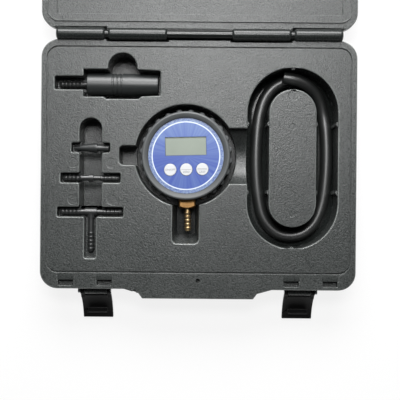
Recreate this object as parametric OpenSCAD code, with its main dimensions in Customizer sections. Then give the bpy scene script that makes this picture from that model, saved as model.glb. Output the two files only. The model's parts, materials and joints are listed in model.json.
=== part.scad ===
// Fuel pressure tester kit: a digital gauge with a brass hose barb, a fuel hose and
// four hose adaptors, lying in the pockets of a hinged blow-moulded case.
// Origin: centre of the underside of the case base. +Z up, +Y towards the hinge.
// The case is open: its lid is folded back flat behind the hinge.

/* [Case halves] */
// Width of the case at the rim
case_w = 285; // [270:1:300]
// Depth of one case half, front rim to rear rim
case_d = 225; // [222:1:240]
// Height of one case half
half_h = 40; // [38:0.5:48]
// Radius of the rim's corners
corner_r = 16; // [10:0.5:20]
// Height of the rim flange
rim_h = 9; // [7:0.5:11]
// How far the rim flange stands out from the wall under it
rim_step = 4; // [2:0.5:5]
// Further draft of the wall from the rim flange to the foot
wall_draft = 4; // [1:0.5:6]
// Radius that rounds the foot of the wall
foot_round = 3; // [1:0.5:5]
// Gap between the two rims when the case is shut
rim_gap = 0.4; // [0.2:0.1:1]

/* [Seal and lid] */
// Inset of the seal groove from the side rims
seal_side = 5.5; // [4.5:0.5:8]
// Inset of the seal groove from the rear rim
seal_rear = 6.8; // [6:0.2:9]
// Inset of the seal groove from the front rim
seal_front = 15.2; // [14:0.2:19]
// Width of the seal groove
groove_w = 1.4; // [1.2:0.1:2]
// Depth of the seal groove
groove_h = 2; // [1.8:0.1:3]
// Width of the lid's sealing tongue
tongue_w = 0.8; // [0.6:0.1:0.8]
// Height of the lid's sealing tongue
tongue_h = 1.4; // [0.8:0.1:1.5]
// Inset of the lid's inner panel from the rim
panel_inset = 13.5; // [12:0.5:18]
// Depth of the lid's inner panel below the rim
panel_h = 2.5; // [2:0.5:6]

/* [Hinge] */
// Distance from the rear rim to the hinge axis
hinge_back = 4.8; // [4.4:0.2:6]
// Radius of the hinge knuckles
knuckle_r = 5.6; // [4.8:0.2:6.4]
// Radius of the hinge pin
hinge_pin_r = 3.6; // [2.5:0.1:3.8]
// Inner end of the lid's knuckles, from the middle
lid_knuckle_in = 29; // [24:1:40]
// Outer end of the lid's knuckles, from the middle
lid_knuckle_out = 82.5; // [70:0.5:85]
// Gap between neighbouring knuckles
knuckle_gap = 2.5; // [1:0.5:5]
// Outer end of the base's knuckles, from the middle
base_knuckle_out = 129; // [115:1:131]

/* [Handle and latches] */
// Width of the grip across the front
grip_w = 100; // [80:1:110]
// How far the grip stands out in front of the rim
grip_reach = 8.5; // [6:0.5:12]
// Height of the grip bar on each case half
grip_h = 15; // [12:0.5:20]
// Depth of the finger recess behind the front rim
grip_recess = 19; // [12:0.5:22]
// Distance of each latch from the middle
latch_x = 93.5; // [90:0.5:100]
// Width of a latch
latch_w = 27.8; // [25:0.2:32]
// Length of a latch from its pin
latch_len = 34.5; // [32:0.5:36]
// Thickness of a latch's plate
latch_t = 3; // [2:0.2:3.6]
// Radius of a latch pin
latch_pin_r = 1.6; // [1.2:0.1:2]
// Depth of the latch pin's axis below the rim
latch_drop = 14; // [13.5:0.5:16]
// Turn of a latch from open to shut
latch_turn = 130; // [110:1:135]

/* [Gauge] */
// Radius of the gauge's rubber boot
gauge_r = 40; // [39:0.5:42]
// Thickness of the gauge over its boot
gauge_t = 34; // [33:0.5:36]
// How far the gauge stands above the rim
gauge_proud = 1; // [0:0.2:1.6]
// Gauge centre across the case
gauge_x = -11.5; // [-14:0.5:-10]
// Gauge centre along the case
gauge_y = 8.2; // [4:0.2:12]
// Angle at which the gauge lies in its pocket
gauge_turn = 1.7; // [0:0.1:4]
// Thickness of the boot's wall
boot_wall = 3; // [2.4:0.1:3.4]
// How far the grip lugs stand out of the boot
lug_out = 2.5; // [1.5:0.1:3]
// Radius of the printed face
face_r = 34.1; // [32.5:0.1:34.4]
// Width of the display window
lcd_w = 36.8; // [32:0.2:40]
// Height of the display window
lcd_h = 16.4; // [14:0.2:18]
// Distance of the display above the face's middle
lcd_up = 8.6; // [8:0.2:11]
// Radius of a key's cap
key_r = 5.5; // [4.5:0.1:5.8]
// Distance between neighbouring keys
key_pitch = 14.5; // [14:0.1:16]
// Distance of the keys below the face's middle
key_down = 12.5; // [11:0.5:14]
// Travel of a key
key_travel = 0.6; // [0.3:0.1:0.6]
// Width of the brass stem across its four wrench flats
flats_w = 15; // [13:0.5:15]
// Length of the wrench flats outside the housing
flats_len = 8.9; // [6:0.1:10]

/* [Hose barbs] */
// Radius of a barb's crest
barb_r = 3.2; // [2.8:0.1:3.6]
// Radius of a crest at the smaller end of an adaptor
barb_small_r = 2.9; // [2.5:0.1:3]
// Radius of the tube between barbs
root_r = 2.6; // [2.3:0.1:2.7]
// Radius of the way through a barb
barb_bore_r = 1.6; // [1:0.1:1.8]
// Distance between neighbouring crests
barb_pitch = 3.5; // [2.8:0.1:3.6]
// Width of the flat on each crest
crest_w = 0.8; // [0.6:0.1:1]
// Barbs in a row
barb_n = 5; // [3:1:6]

/* [Hose] */
// Outer diameter of the hose
hose_d = 11; // [9:0.2:11.2]
// Bore of the hose
hose_bore = 6; // [4:0.2:6.4]
// Width of the hose groove
hose_groove_w = 19.4; // [18.6:0.2:20]
// Length of the hose groove's outline
hose_groove_l = 163.3; // [160:0.5:170]
// Width of the hose groove's outline
hose_groove_span = 81.6; // [80:0.2:83]
// Hose groove centre across the case
hose_x = 84.7; // [84:0.1:85.5]
// Hose groove centre along the case
hose_y = 6.6; // [5:0.2:8]

/* [Adaptors] */
// Length of the coupler's body
coupler_len = 64.6; // [58:0.2:66]
// Radius of the coupler's body
coupler_r = 10; // [9:0.1:10.6]
// Radius of the coupler's open end
coupler_end_r = 8.8; // [8.2:0.1:9.4]
// Radius of the port in the coupler's seal
port_r = 4; // [3:0.1:4.4]
// Length of the coupler's hose stem
coupler_stem_len = 26; // [22:0.5:28]
// Length of the taper adaptor
taper_len = 32; // [28:0.5:34]
// Length of the straight connector
straight_len = 51.5; // [44:0.5:54]
// Length of the tee across its run
tee_len = 57; // [48:0.5:58]
// Length of the tee's leg from the run's axis
tee_leg = 36; // [32:0.2:40]

/* [Hidden] */
$fn = 96;

over = 1;            // how far a cutter runs past the face it opens
seat = 0.3;          // clearance of a piece that lies loose in its seat
fit = 0.1;           // clearance between faces that are fixed together
pin_play = 0.07;     // radial clearance of a turning pin
hull_fn = 32;

case_grey = [0.17, 0.18, 0.18];
latch_black = [0.05, 0.05, 0.05];
moulded_black = [0.09, 0.09, 0.09];
brass_tone = [0.80, 0.60, 0.30];
steel_tone = [0.62, 0.63, 0.65];

// Case halves
rear_y = case_d / 2;
front_y = -case_d / 2;
hinge_y = rear_y + hinge_back;
hinge_z = half_h + rim_gap / 2;
wall_top_z = half_h - rim_h;
seal_w = case_w - 2 * seal_side;
seal_d = case_d - seal_rear - seal_front;
seal_y = (seal_front - seal_rear) / 2;
seal_r = corner_r - seal_side;

// Hinge
panel_r = 1.6;       // radius of the lid panel's corners
knuckle_cut = 1.2;   // clearance round a turning knuckle
knuckle_round = 2.6; // radius that rounds a knuckle's ends
web_drop = 0.7;      // depth of a knuckle's web below the rim
web_reach = 11;      // reach of a knuckle's web into the rim flange
trough_t = 2;        // thickness of the base's lip under the hinge rod
trough_gap = 1.4;    // clearance of that lip to the open lid's rim
base_knuckle_in = lid_knuckle_out + knuckle_gap;
hinge_pin_half = base_knuckle_out - 0.4;

// Front rim: tongues and their slots, peg and its hole, grip outline
slot_w = 13.7;
slot_d = 5.1;
slot_h = 7.6;
slot_back = 5.4;     // distance of the slots' middle behind the front rim
slot_pitch = 35;
slot_pair_x = 101.8;
tab_h = 4;
tab_play = 0.5;
chute_deep = 1.6;    // depth of the slope that leads into each slot
chute_side = 0.6;
dimple_r = 1.6;
dimple_x = -57;
dimple_h = 4;
peg_r = 1.6;
peg_hole_r = 2;
peg_back = 7.9;
peg_h = 3;
grip_shoulder = 3.7; // reach of the ramps beside the grip
grip_ramp = 13.2;    // width of a ramp
grip_side = 3.6;     // width of the grip's slanted ends
recess_r = 6;

// Latches, drawn shut and turned open about their pins
latch_pin_y = front_y - 3;
latch_pin_z = half_h - latch_drop;
latch_front_gap = 1.2;
latch_in = front_y - latch_front_gap - latch_pin_y;  // inner face of a shut plate
lug_w = 20;
lug_r = 3.2;
cheek_r = 3.4;
lid_flange_z = half_h + rim_gap + rim_h - latch_pin_z; // top of the shut lid's flange
hook_z = lid_flange_z + 0.4;
hook_out = 3;
hook_w = 18;
hook_h = 4.6;
plate_bow = 2.5;     // how far a latch's plate bows outwards
latch_head_r = 2.3;
latch_head_t = 2;

// Gauge: heights above its back
gauge_floor = half_h + gauge_proud - gauge_t;
boot_back_t = 3.1;
lug_n = 24;
lug_r_own = 3.2;
lug_low = 4;
lug_high = gauge_t - 13;
boot_lip_under = gauge_t - 2.7;
boot_edge_r = 1.7;   // radius of the boot's outer top edge
boot_slope = 20;     // fall of the boot's rim towards the face
boot_back_r = gauge_r - boot_wall - 2.5;
boot_in_r = gauge_r - boot_wall;
lip_r = face_r + 0.2;
boot_lip_z = gauge_t - (gauge_r - boot_edge_r - lip_r - 0.5) * tan(boot_slope)
    - (boot_edge_r - 0.5) * (1 - 1 / cos(boot_slope));  // top of the lip's rounding, in line with the slope
housing_r = boot_in_r - seat;
housing_wall = 2;
housing_low = boot_back_t + fit;
housing_back_t = 2.2;
housing_in_r = housing_r - housing_wall;
label_t = 0.4;
plate_t = 2;
plate_high = boot_lip_under - fit;
plate_low = plate_high - plate_t;
label_high = plate_high + label_t;
board_t = 1.6;
board_high = plate_low - 5.6;
board_low = board_high - board_t;
board_r = housing_in_r - 1.2;
boss_r = 3;
boss_ring = housing_in_r - 3.7;
boss_angles = [90, 210, 330];
screw_r = 1.25;
screw_hole_r = 1.3;
screw_head_r = 2.4;
screw_head_t = 1.8;
screw_pocket_r = 2.6;
lcd_play = 0.2;
lcd_recess = 0.9;    // depth of the window below the printed face
lcd_frame = 2.6;
key_flange_r = key_r + 1.1;
key_flange_t = 0.9;
key_proud = 0.4;
key_hole_r = key_r + 0.2;
switch_w = 6;
switch_t = 3.4;
switch_tip_r = 1.7;
switch_tip_t = 0.4;

// Gauge: pressure port, on the axis that points to the front
stem_z = gauge_t / 2;
port_boss_r = 8.2;
port_hole_r = 5;
spigot_r = 4.8;
washer_t = 1.2;
washer_r = 7;
port_face = housing_r + 0.5;
washer_in = port_face + 0.05;
flats_in = washer_in + washer_t + 0.05;
flats_out = flats_in + flats_len;
flats_bar_r = 0.653 * flats_w; // radius of the round bar that the flats are cut from
stem_len = barb_n * barb_pitch + 3.5;
stem_tip = flats_out + stem_len;
sensor_r = 8.5;
sensor_out = sqrt(pow(housing_in_r, 2) - pow(sensor_r, 2)) - 0.4;
sensor_in = sensor_out - 16.2;
sensor_bore_r = 4.9;
spigot_in = sensor_out - 5;
seal_wire_r = 0.9;
seal_ring_r = 3.2;
seal_play = 0.2;
sensor_bore_in = spigot_in - 2 * seal_wire_r - 2 * seal_play;
boot_port_r = 10.5;
ribbon_w = 8;
ribbon_t = 0.4;
ribbon_out = 2;

// Gauge: battery bay, open to the back
cell_r = 5.25;
cell_len = 44.5;
cell_pitch = 11.4;
cover_t = 2;
bay_y = 8;
bay_w = cell_len + 4;
bay_d = cell_pitch + 2 * cell_r + 1.1;
bay_h = cover_t + 2 * cell_r + 2 * seat;
bay_wall = 1.5;
cover_lip = 0.95;
cover_tab_w = 8;
cover_tab_d = 7;
cover_tab_in = bay_y - bay_d / 2 - cover_lip;
cover_screw_y = cover_tab_in - 3.6;
cover_screw_r = 1;
cover_boss_h = 6;
cover_boss_r = 2.6;
cover_head_r = 2;
cover_head_t = 1.1;
contact_t = 0.4;
contact_w = 20;
contact_h = 9;

// Pockets
gauge_pocket_r = gauge_r + lug_out + 3.7;
stem_slot_w = 24;
stem_slot_end = 11;
stem_slot_r = 4.4;
stem_slot_draft = 3.6; // how far the slot's sides lean in at its floor
stem_slot_lean = 6.6; // and its front end
scoop_right_w = 50;
scoop_right_r = 30;
scoop_right_reach = hose_x - hose_groove_span / 2 + hose_groove_w / 2 - gauge_x;
scoop_right_deep = 22;
scoop_left_w = 17.4;
scoop_left_reach = 14;
scoop_left_deep = 28;
scoop_left_r = 4;

hose_z = 14;
hose_floor = hose_z - hose_d / 2 - 0.5;
groove_fillet = 6;   // rounding along the foot of the groove's walls
groove_steps = [for (a = [0 : 22.5 : 90]) groove_fillet * [1 - sin(a), 1 - cos(a)]];
hose_nub_r = 2.4;
hose_nub_out = 1.5;
hose_nub_y = 31;
groove_island_w = hose_groove_span - 2 * hose_groove_w;

coupler_x = -102;
coupler_y = 73.2;
coupler_z = half_h - 12;
coupler_floor = coupler_z - coupler_r - seat;
coupler_side = 2.4;
coupler_scoop_x = -69.4;
coupler_scoop_w = 26;
coupler_scoop_back = 14.2;
coupler_scoop_front = 14.3;
coupler_scoop_deep = 34;
coupler_scoop_front_w = 29;
coupler_scoop_flare = 2.5;
coupler_stem_pocket_w = 12.2;
coupler_stem_r = 5;
coupler_plug_len = 12;
coupler_bore_r = 6;
coupler_seal_len = 14;
groove_places = [23.6, 27.5, 31.3];
grip_groove_w = 1.4;
grip_groove_h = 0.7;
o_ring_wire_r = 0.6;
o_ring_groove_r = coupler_stem_r - 1.2;
o_ring_r = (o_ring_groove_r + coupler_stem_r + fit / 2) / 2;

column_x = -97.4;
channel_w = 20.2;
channel_top = 41.6;
channel_deep = 30;
adaptor_z = half_h - 7;
adaptor_seat = 0.6;  // room under a crest for the wall of a tight sleeve
adaptor_side = 1.2;
adaptor_end = 1.4;
adaptor_half_w = barb_r + adaptor_side;
leg_half_w = barb_r + 2;
pocket_r = 1.6;      // radius of the pockets' corners in plan
taper_y = 14.8;
taper_flange_r = 4.5;
taper_flange_t = 1.2;
taper_spigot_len = 10.9;
taper_spigot_r = 3;
taper_end_r = 0.8;   // rounding of the spigot's end
taper_tip_r = 1.6;
straight_y = -12.5;
straight_collar_r = 3.6;
straight_collar_w = 4;
tee_y = -43.2;
tee_joint_r = 3.6;
tee_joint_len = 5.5;
tee_leg_room = 4.3;  // free length of the pocket beyond the leg's end
tee_leg_step = 0.2;  // the leg's joint and bore are this much smaller than the run's

// Shallow round marks that the mould leaves: x, y, radius
mould_marks = [[-113.3, 1, 4.7], [-79, 1, 4.7], [-113.3, -32.3, 4.7], [-78, -32.3, 4.7],
    [85, 63.4, 4.7], [84.6, 35.2, 2.8], [84.4, -43.8, 2.8]];
mark_deep = 0.35;

// Hose route, one loop from its upper end round to the lower end beneath it
hose_route = [[77, 81.5, 26.2], [85, 80, 26.2], [93, 78, 25], [101, 74, 22.6], [108, 68, 19.2], [113, 59, 16],
    [116, 48, 14], [118, 34.5, 14], [119, 18.5, 14], [119, 2, 14], [118, -15, 14], [116, -31, 14],
    [112, -45, 14], [106, -55, 14], [97, -62, 14], [86, -64.5, 14], [75, -62.5, 14], [65.5, -55, 14],
    [59.5, -45, 14], [56.5, -33, 14], [54.5, -18, 14], [53.5, -2, 14], [53.5, 15, 14], [54.5, 33.5, 14],
    [56.5, 48.5, 14], [60.5, 62, 14], [67.5, 72, 14], [76.5, 78, 14], [86.5, 81, 14]];
hose_sides = 12;
hose_steps = 2;

// General shapes

module rounded_rect(w, d, r) {
    square([w - 2 * r, d], center = true);
    square([w, d - 2 * r], center = true);
    for (sx = [-1, 1], sy = [-1, 1])
        translate([sx * (w / 2 - r), sy * (d / 2 - r)]) circle(r);
}

module stadium(w, l) {
    square([w, l - w], center = true);
    for (sy = [-1, 1]) translate([0, sy * (l - w) / 2]) circle(w / 2);
}

module ring_groove(w, d, r, line) {
    difference() {
        rounded_rect(w + line, d + line, r + line / 2);
        rounded_rect(w - line, d - line, r - line / 2);
    }
}

// A round bar along X from x0 to x1
module bar_x(x0, x1, r) translate([x0, 0, 0]) rotate([0, 90, 0]) cylinder(h = x1 - x0, r = r);

// The same bar with its ends rounded
module rounded_bar_x(x0, x1, r, e) translate([x0, 0, 0]) turned_x()
    polygon(concat([[0, 0]], arc(r - e, e, e, -90, 0, 4), arc(r - e, x1 - x0 - e, e, 0, 90, 4),
        [[0, x1 - x0]]));

// A solid of revolution about X, from an outline of [radius, x] points
module turned_x() rotate([0, 90, 0]) rotate_extrude() children();

// A round bar along -Y from y = -y0 to y = -y1
module bar_front(y0, y1, r, r2 = -1)
    translate([0, -y0, 0]) rotate([90, 0, 0]) cylinder(h = y1 - y0, r1 = r, r2 = r2 < 0 ? r : r2);

// A strip along X, w wide, whose section is the given [y, z] outline
module strip_x(w, outline)
    translate([-w / 2, 0, 0]) rotate([90, 0, 90]) linear_extrude(w) polygon(outline);

function arc(cx, cy, r, from, to, n = 6) =
    [for (i = [0 : n]) let (a = from + (to - from) * i / n) [cx + r * cos(a), cy + r * sin(a)]];

// Half outline of a row of barbs, tip at height 0, as [radius, height] points
function barb_points(n, crest, root) = [for (i = [0 : n - 1]) each [
    [i == 0 ? root - 0.2 : root, i * barb_pitch],
    [crest, (i + 1) * barb_pitch - crest_w],
    [crest, (i + 1) * barb_pitch],
    [root, (i + 1) * barb_pitch]]];

// A barbed tube along +Z from its tip, with its root running on to height len
module barbed_tube(len, n = barb_n, crest = barb_r) {
    root = crest - barb_r + root_r;
    rotate_extrude() polygon(concat([[0, 0]], barb_points(n, crest, root), [[root, len], [0, len]]));
}

// Two barbed tubes end to end along X, the one on the +X side for a slightly smaller hose
module barbed_run(len) {
    translate([-len / 2, 0, 0]) rotate([0, 90, 0]) barbed_tube(len / 2);
    translate([len / 2, 0, 0]) rotate([0, -90, 0]) barbed_tube(len / 2, barb_n, barb_small_r);
}

// Case halves

module case_half() {
    hull() {
        linear_extrude(0.1) rounded_rect(case_w - 2 * (rim_step + wall_draft + foot_round),
            case_d - 2 * (rim_step + wall_draft + foot_round), corner_r, $fn = hull_fn);
        translate([0, 0, foot_round]) linear_extrude(0.1)
            rounded_rect(case_w - 2 * (rim_step + wall_draft), case_d - 2 * (rim_step + wall_draft),
                corner_r, $fn = hull_fn);
        translate([0, 0, wall_top_z]) linear_extrude(rim_h / 2)
            rounded_rect(case_w - 2 * rim_step, case_d - 2 * rim_step, corner_r - 1, $fn = hull_fn);
    }
    translate([0, 0, wall_top_z]) linear_extrude(rim_h) rounded_rect(case_w, case_d, corner_r);
    translate([0, 0, wall_top_z]) linear_extrude(rim_h) grip_outline();
    translate([-grip_w / 2, front_y - grip_reach, half_h - grip_h])
        cube([grip_w, grip_reach + grip_recess, grip_h - rim_h / 2]);
}

module grip_outline() {
    shoulder = grip_w / 2 + grip_side;
    half = [[grip_w / 2, -grip_reach], [shoulder, -grip_shoulder], [shoulder + grip_ramp, 0],
        [shoulder + grip_ramp, over]];
    translate([0, front_y]) polygon(concat(half, [for (i = [3 : -1 : 0]) [-half[i][0], half[i][1]]]));
}

// Room for fingers behind and under the grip
module grip_fingers()
    translate([0, front_y + (grip_recess - grip_reach - over) / 2, -over])
        linear_extrude(half_h - grip_h + over)
            rounded_rect(grip_w, grip_recess + grip_reach + over, recess_r);

module at_hinge() translate([0, hinge_y, hinge_z]) children();

// Knuckles of one half from x = a to x = b on both sides, with webs that reach towards -Y
module knuckles(a, b) {
    for (s = [0, 1]) mirror([s, 0, 0]) {
        at_hinge() rounded_bar_x(a, b, knuckle_r, knuckle_round);
        translate([a + knuckle_round, hinge_y - web_reach, hinge_z - knuckle_r])
            cube([b - a - 2 * knuckle_round, web_reach, knuckle_r - web_drop]);
    }
}

// A lip of the base's flange that runs on under the rod, so that dirt and light stay out
module hinge_trough() {
    half_w = base_knuckle_in + 2 * knuckle_round;
    translate([-half_w, rear_y - rim_step, wall_top_z])
        cube([2 * half_w, rim_step + 2 * hinge_back - trough_gap, trough_t]);
}

module knuckle_bores(a, b, r)
    for (s = [0, 1]) mirror([s, 0, 0]) at_hinge() bar_x(a - over, b + over, r);

// Room in one half for the other half's knuckles
module knuckle_room(a, b)
    for (s = [0, 1]) mirror([s, 0, 0])
        at_hinge() bar_x(a - knuckle_gap / 2, b + knuckle_gap / 2, knuckle_r + knuckle_cut);

module front_slots(w, d, h)
    for (side = [-1, 1], s = [-1, 1])
        translate([side * slot_pair_x + s * slot_pitch / 2, front_y + slot_back, half_h])
            linear_extrude(h) rounded_rect(w, d, 0.8);

// Slopes from the seal groove down into the slots
module slot_chutes() {
    slot_rear = front_y + slot_back + slot_d / 2 - 0.5;
    top_y = front_y + seal_front - groove_w;
    for (side = [-1, 1], s = [-1, 1]) translate([side * slot_pair_x + s * slot_pitch / 2, 0, 0])
        strip_x(slot_w + 2 * chute_side, [[slot_rear, half_h + over], [slot_rear, half_h - chute_deep],
            [top_y, half_h], [top_y, half_h + over]]);
}

module case_base() color(case_grey) difference() {
    union() {
        case_half();
        knuckles(base_knuckle_in, base_knuckle_out);
        hinge_trough();
        for (s = [-1, 1]) translate([s * latch_x, latch_pin_y, latch_pin_z]) {
            bar_x(-lug_w / 2, lug_w / 2, lug_r);
            translate([-lug_w / 2, 0, -lug_r]) cube([lug_w, rim_step + wall_draft + 6, 2 * lug_r]);
        }
    }
    knuckle_bores(base_knuckle_in, base_knuckle_out, hinge_pin_r + fit / 2);
    knuckle_room(lid_knuckle_in, lid_knuckle_out);
    for (s = [-1, 1]) translate([s * latch_x, latch_pin_y, latch_pin_z])
        bar_x(-lug_w / 2 - over, lug_w / 2 + over, latch_pin_r + fit / 2);
    grip_fingers();
    translate([0, seal_y, half_h - groove_h]) linear_extrude(groove_h + over)
        ring_groove(seal_w, seal_d, seal_r, groove_w);
    translate([0, 0, -slot_h]) front_slots(slot_w, slot_d, slot_h + over);
    slot_chutes();
    translate([0, front_y + peg_back, half_h - slot_h]) cylinder(h = slot_h + over, r = peg_hole_r);
    translate([dimple_x, front_y - grip_shoulder / 2, half_h - dimple_h])
        cylinder(h = dimple_h + over, r = dimple_r);
    for (m = mould_marks) translate([m[0], m[1], half_h - mark_deep])
        cylinder(h = mark_deep + over, r = m[2]);
    gauge_pocket();
    hose_pocket();
    coupler_pocket();
    adaptor_pockets();
}

module pocket(floor_z) translate([0, 0, floor_z]) linear_extrude(half_h - floor_z + over) children();

module gauge_pocket() {
    translate([gauge_x, gauge_y, 0]) {
        pocket(gauge_floor) circle(gauge_pocket_r);
        stem_slot(stem_tip + stem_slot_end);
        pocket(half_h - scoop_left_deep) translate([-gauge_pocket_r, 0])
            rounded_rect(2 * scoop_left_reach, scoop_left_w, scoop_left_r);
        intersection() {
            translate([0, -scoop_right_w / 2, 0])
                cube([scoop_right_reach, scoop_right_w, half_h + over]);
            translate([0, 0, half_h - scoop_right_deep + scoop_right_r])
                bar_x(-over, hose_x - gauge_x, scoop_right_r);
        }
    }
}

// Slot for the stem, whose sides and front end lean in towards its floor
module stem_slot(len) hull() {
    translate([0, -len / 2, half_h]) linear_extrude(over)
        rounded_rect(stem_slot_w, len, stem_slot_r, $fn = hull_fn);
    translate([0, -(len - stem_slot_lean) / 2, gauge_floor]) linear_extrude(0.1)
        rounded_rect(stem_slot_w - 2 * stem_slot_draft, len - stem_slot_lean, stem_slot_r, $fn = hull_fn);
}

module hose_pocket() translate([hose_x, hose_y, 0]) difference() {
    union() {
        pocket(hose_floor + groove_fillet) stadium(hose_groove_span, hose_groove_l);
        hull() for (i = [0 : len(groove_steps) - 1]) groove_slice(i, hose_groove_span, hose_groove_l, -1);
    }
    translate([0, 0, -over]) linear_extrude(half_h + 3 * over)
        stadium(groove_island_w, hose_groove_l - 2 * hose_groove_w);
    for (i = [1 : len(groove_steps) - 1]) hull() for (j = [i - 1, i])
        groove_slice(j, groove_island_w, hose_groove_l - 2 * hose_groove_w, 1);
    for (sx = [-1, 1], sy = [-1, 1], inner = [0, 1])
        hose_nub(sx * (inner == 1 ? groove_island_w / 2 - hose_nub_r + hose_nub_out
            : hose_groove_span / 2 + hose_nub_r - hose_nub_out), sy * hose_nub_y);
    for (sy = [-1, 1]) hose_nub(0, sy * (hose_groove_l / 2 + hose_nub_r - hose_nub_out));
}

// A rounded bump on the groove's wall that keeps the hose from springing out
// Thin slice of the groove's outer side (side -1) or of its island (side 1) in the rounded foot
module groove_slice(i, w, l, side) translate([0, 0, hose_floor + groove_steps[i][1]]) linear_extrude(0.02)
    stadium(w + 2 * side * groove_steps[i][0], l + 2 * side * groove_steps[i][0], $fn = hull_fn);

module hose_nub(x, y) translate([x, y, 0]) cylinder(h = half_h - 2.4, r = hose_nub_r);

module coupler_pocket() translate([coupler_x, coupler_y, 0]) {
    end = coupler_len + coupler_side - pocket_r;
    wide = coupler_r + coupler_side;
    narrow = coupler_end_r + coupler_side;
    pocket(coupler_floor) polygon(concat([[-coupler_side, -wide], [coupler_len * 0.6, -wide]],
        arc(end, -narrow + pocket_r, pocket_r, -90, 0, 4), arc(end, narrow - pocket_r, pocket_r, 0, 90, 4),
        [[coupler_len * 0.6, wide], [-coupler_side, wide]]));
    pocket(coupler_z - barb_r - 2.8) {
        translate([-coupler_stem_len / 2, 0])
            rounded_rect(coupler_stem_len + 2 * coupler_side, coupler_stem_pocket_w, pocket_r);
        for (sy = [-1, 1]) eased_corner(-coupler_side, sy * coupler_stem_pocket_w / 2, -1, sy);
    }
    pocket(half_h - coupler_scoop_deep) translate([coupler_scoop_x - coupler_x, 0])
        coupler_scoop(coupler_scoop_w / 2, coupler_scoop_front_w / 2, wide);
}

// Finger hole over the coupler: round behind it, and slanted at the sides where it opens in front
module coupler_scoop(half_w, half_front, wide) {
    translate([0, coupler_scoop_back]) circle(half_w);
    polygon([[-half_w, coupler_scoop_back], [-half_w, 0], [-half_front - coupler_scoop_flare, -wide + over],
        [-half_front - coupler_scoop_flare, -wide], [-half_front, -coupler_scoop_front],
        [half_front, -coupler_scoop_front], [half_front + coupler_scoop_flare, -wide],
        [half_front + coupler_scoop_flare, -wide + over], [half_w, 0], [half_w, coupler_scoop_back]]);
    for (sx = [-1, 1]) eased_corner(sx * half_w, wide - 0.2, sx, 1);
}

module adaptor_pockets() translate([column_x, 0, 0]) {
    pocket(half_h - channel_deep) {
        translate([0, (channel_top - channel_w / 2 + tee_y) / 2])
            square([channel_w, channel_top - channel_w / 2 - tee_y], center = true);
        translate([0, channel_top - channel_w / 2]) circle(channel_w / 2);
    }
    adaptor_pocket(taper_y, taper_len, taper_spigot_r, [-1, 1]);
    adaptor_pocket(straight_y, straight_len, barb_r, [-1, 1]);
    adaptor_pocket(tee_y, tee_len, barb_r, [1]);
    pocket(adaptor_z - barb_r - adaptor_seat) {
        translate([0, tee_y - (tee_leg + tee_leg_room) / 2])
            rounded_rect(2 * leg_half_w, tee_leg + tee_leg_room + 2 * adaptor_end, pocket_r);
        for (sx = [-1, 1]) eased_corner(sx * leg_half_w, tee_y - adaptor_half_w, sx, -1);
    }
}

// Pocket of an adaptor along X, whose ends of radius r lie in it on both sides of the channel.
// Its corners at the channel are eased above (1) and below (-1) as listed.
module adaptor_pocket(y, len, r, eased)
    pocket(adaptor_z - r - adaptor_seat) {
        translate([0, y]) rounded_rect(len + 2 * adaptor_end, 2 * adaptor_half_w, pocket_r);
        for (sx = [-1, 1], sy = eased) eased_corner(sx * channel_w / 2, y + sy * adaptor_half_w, sx, sy);
    }

// Rounds the corner of the land that stands to the sx, sy side of a point
module eased_corner(x, y, sx, sy)
    translate([x, y]) mirror([sx < 0 ? 1 : 0, 0]) mirror([0, sy < 0 ? 1 : 0]) difference() {
        translate([-pocket_r / 2, -pocket_r / 2]) square(1.5 * pocket_r);
        translate([pocket_r, pocket_r]) circle(pocket_r);
    }

// The lid is drawn like the base, rim up, and then stands mirrored behind the hinge
module behind_hinge() translate([0, 2 * hinge_y, 0]) mirror([0, 1, 0]) children();

module case_lid() color(case_grey) behind_hinge() difference() {
    union() {
        difference() {
            case_half();
            panel_d = case_d - panel_inset - seal_front - panel_inset + seal_rear;
            translate([0, (seal_front - seal_rear) / 2, half_h - panel_h]) linear_extrude(panel_h + over)
                rounded_rect(case_w - 2 * panel_inset, panel_d, panel_r);
        }
        knuckles(lid_knuckle_in, lid_knuckle_out);
        translate([0, seal_y, half_h - over]) linear_extrude(tongue_h + over)
            ring_groove(seal_w, seal_d, seal_r, tongue_w);
        translate([0, 0, -over]) front_slots(slot_w - 2 * tab_play, slot_d - 2 * tab_play, tab_h + over);
        translate([0, front_y + peg_back, half_h - over]) cylinder(h = peg_h + over, r = peg_r);
    }
    knuckle_bores(lid_knuckle_in, lid_knuckle_out, hinge_pin_r + pin_play);
    knuckle_room(base_knuckle_in, base_knuckle_out);
    grip_fingers();
}

module hinge_pin() color(moulded_black) at_hinge() bar_x(-hinge_pin_half, hinge_pin_half, hinge_pin_r);

// Latches

module latch_shut() {
    cheek_t = (latch_w - lug_w) / 2 - seat;
    plate_low_z = lug_r + 6 * seat;
    half_chord = (latch_len - plate_low_z) / 2;
    bow_r = (half_chord * half_chord + plate_bow * plate_bow) / (2 * plate_bow);
    bow_a = asin(half_chord / bow_r);
    bow_y = latch_in - plate_bow + bow_r;
    bow_z = plate_low_z + half_chord;
    difference() {
        union() {
            for (s = [0, 1]) mirror([s, 0, 0]) translate([latch_w / 2 - cheek_t, 0, 0]) {
                bar_x(0, cheek_t, cheek_r);
                translate([0, latch_in - latch_t, 0]) cube([cheek_t, latch_t, plate_low_z + 3]);
            }
            strip_x(latch_w, concat(arc(bow_y, bow_z, bow_r, 180 - bow_a, 180 + bow_a, 8),
                arc(bow_y, bow_z, bow_r + latch_t, 180 + bow_a, 180 - bow_a, 8)));
            strip_x(hook_w, [[latch_in - plate_bow - 1, hook_z], [latch_in + hook_out, hook_z],
                [latch_in + hook_out, hook_z + 1.2], [latch_in - plate_bow - 1, hook_z + hook_h]]);
        }
        bar_x(-latch_w, latch_w, latch_pin_r + pin_play);
    }
}

module latch(side) color(latch_black)
    translate([side * latch_x, latch_pin_y, latch_pin_z]) rotate([latch_turn, 0, 0]) latch_shut();

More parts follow.
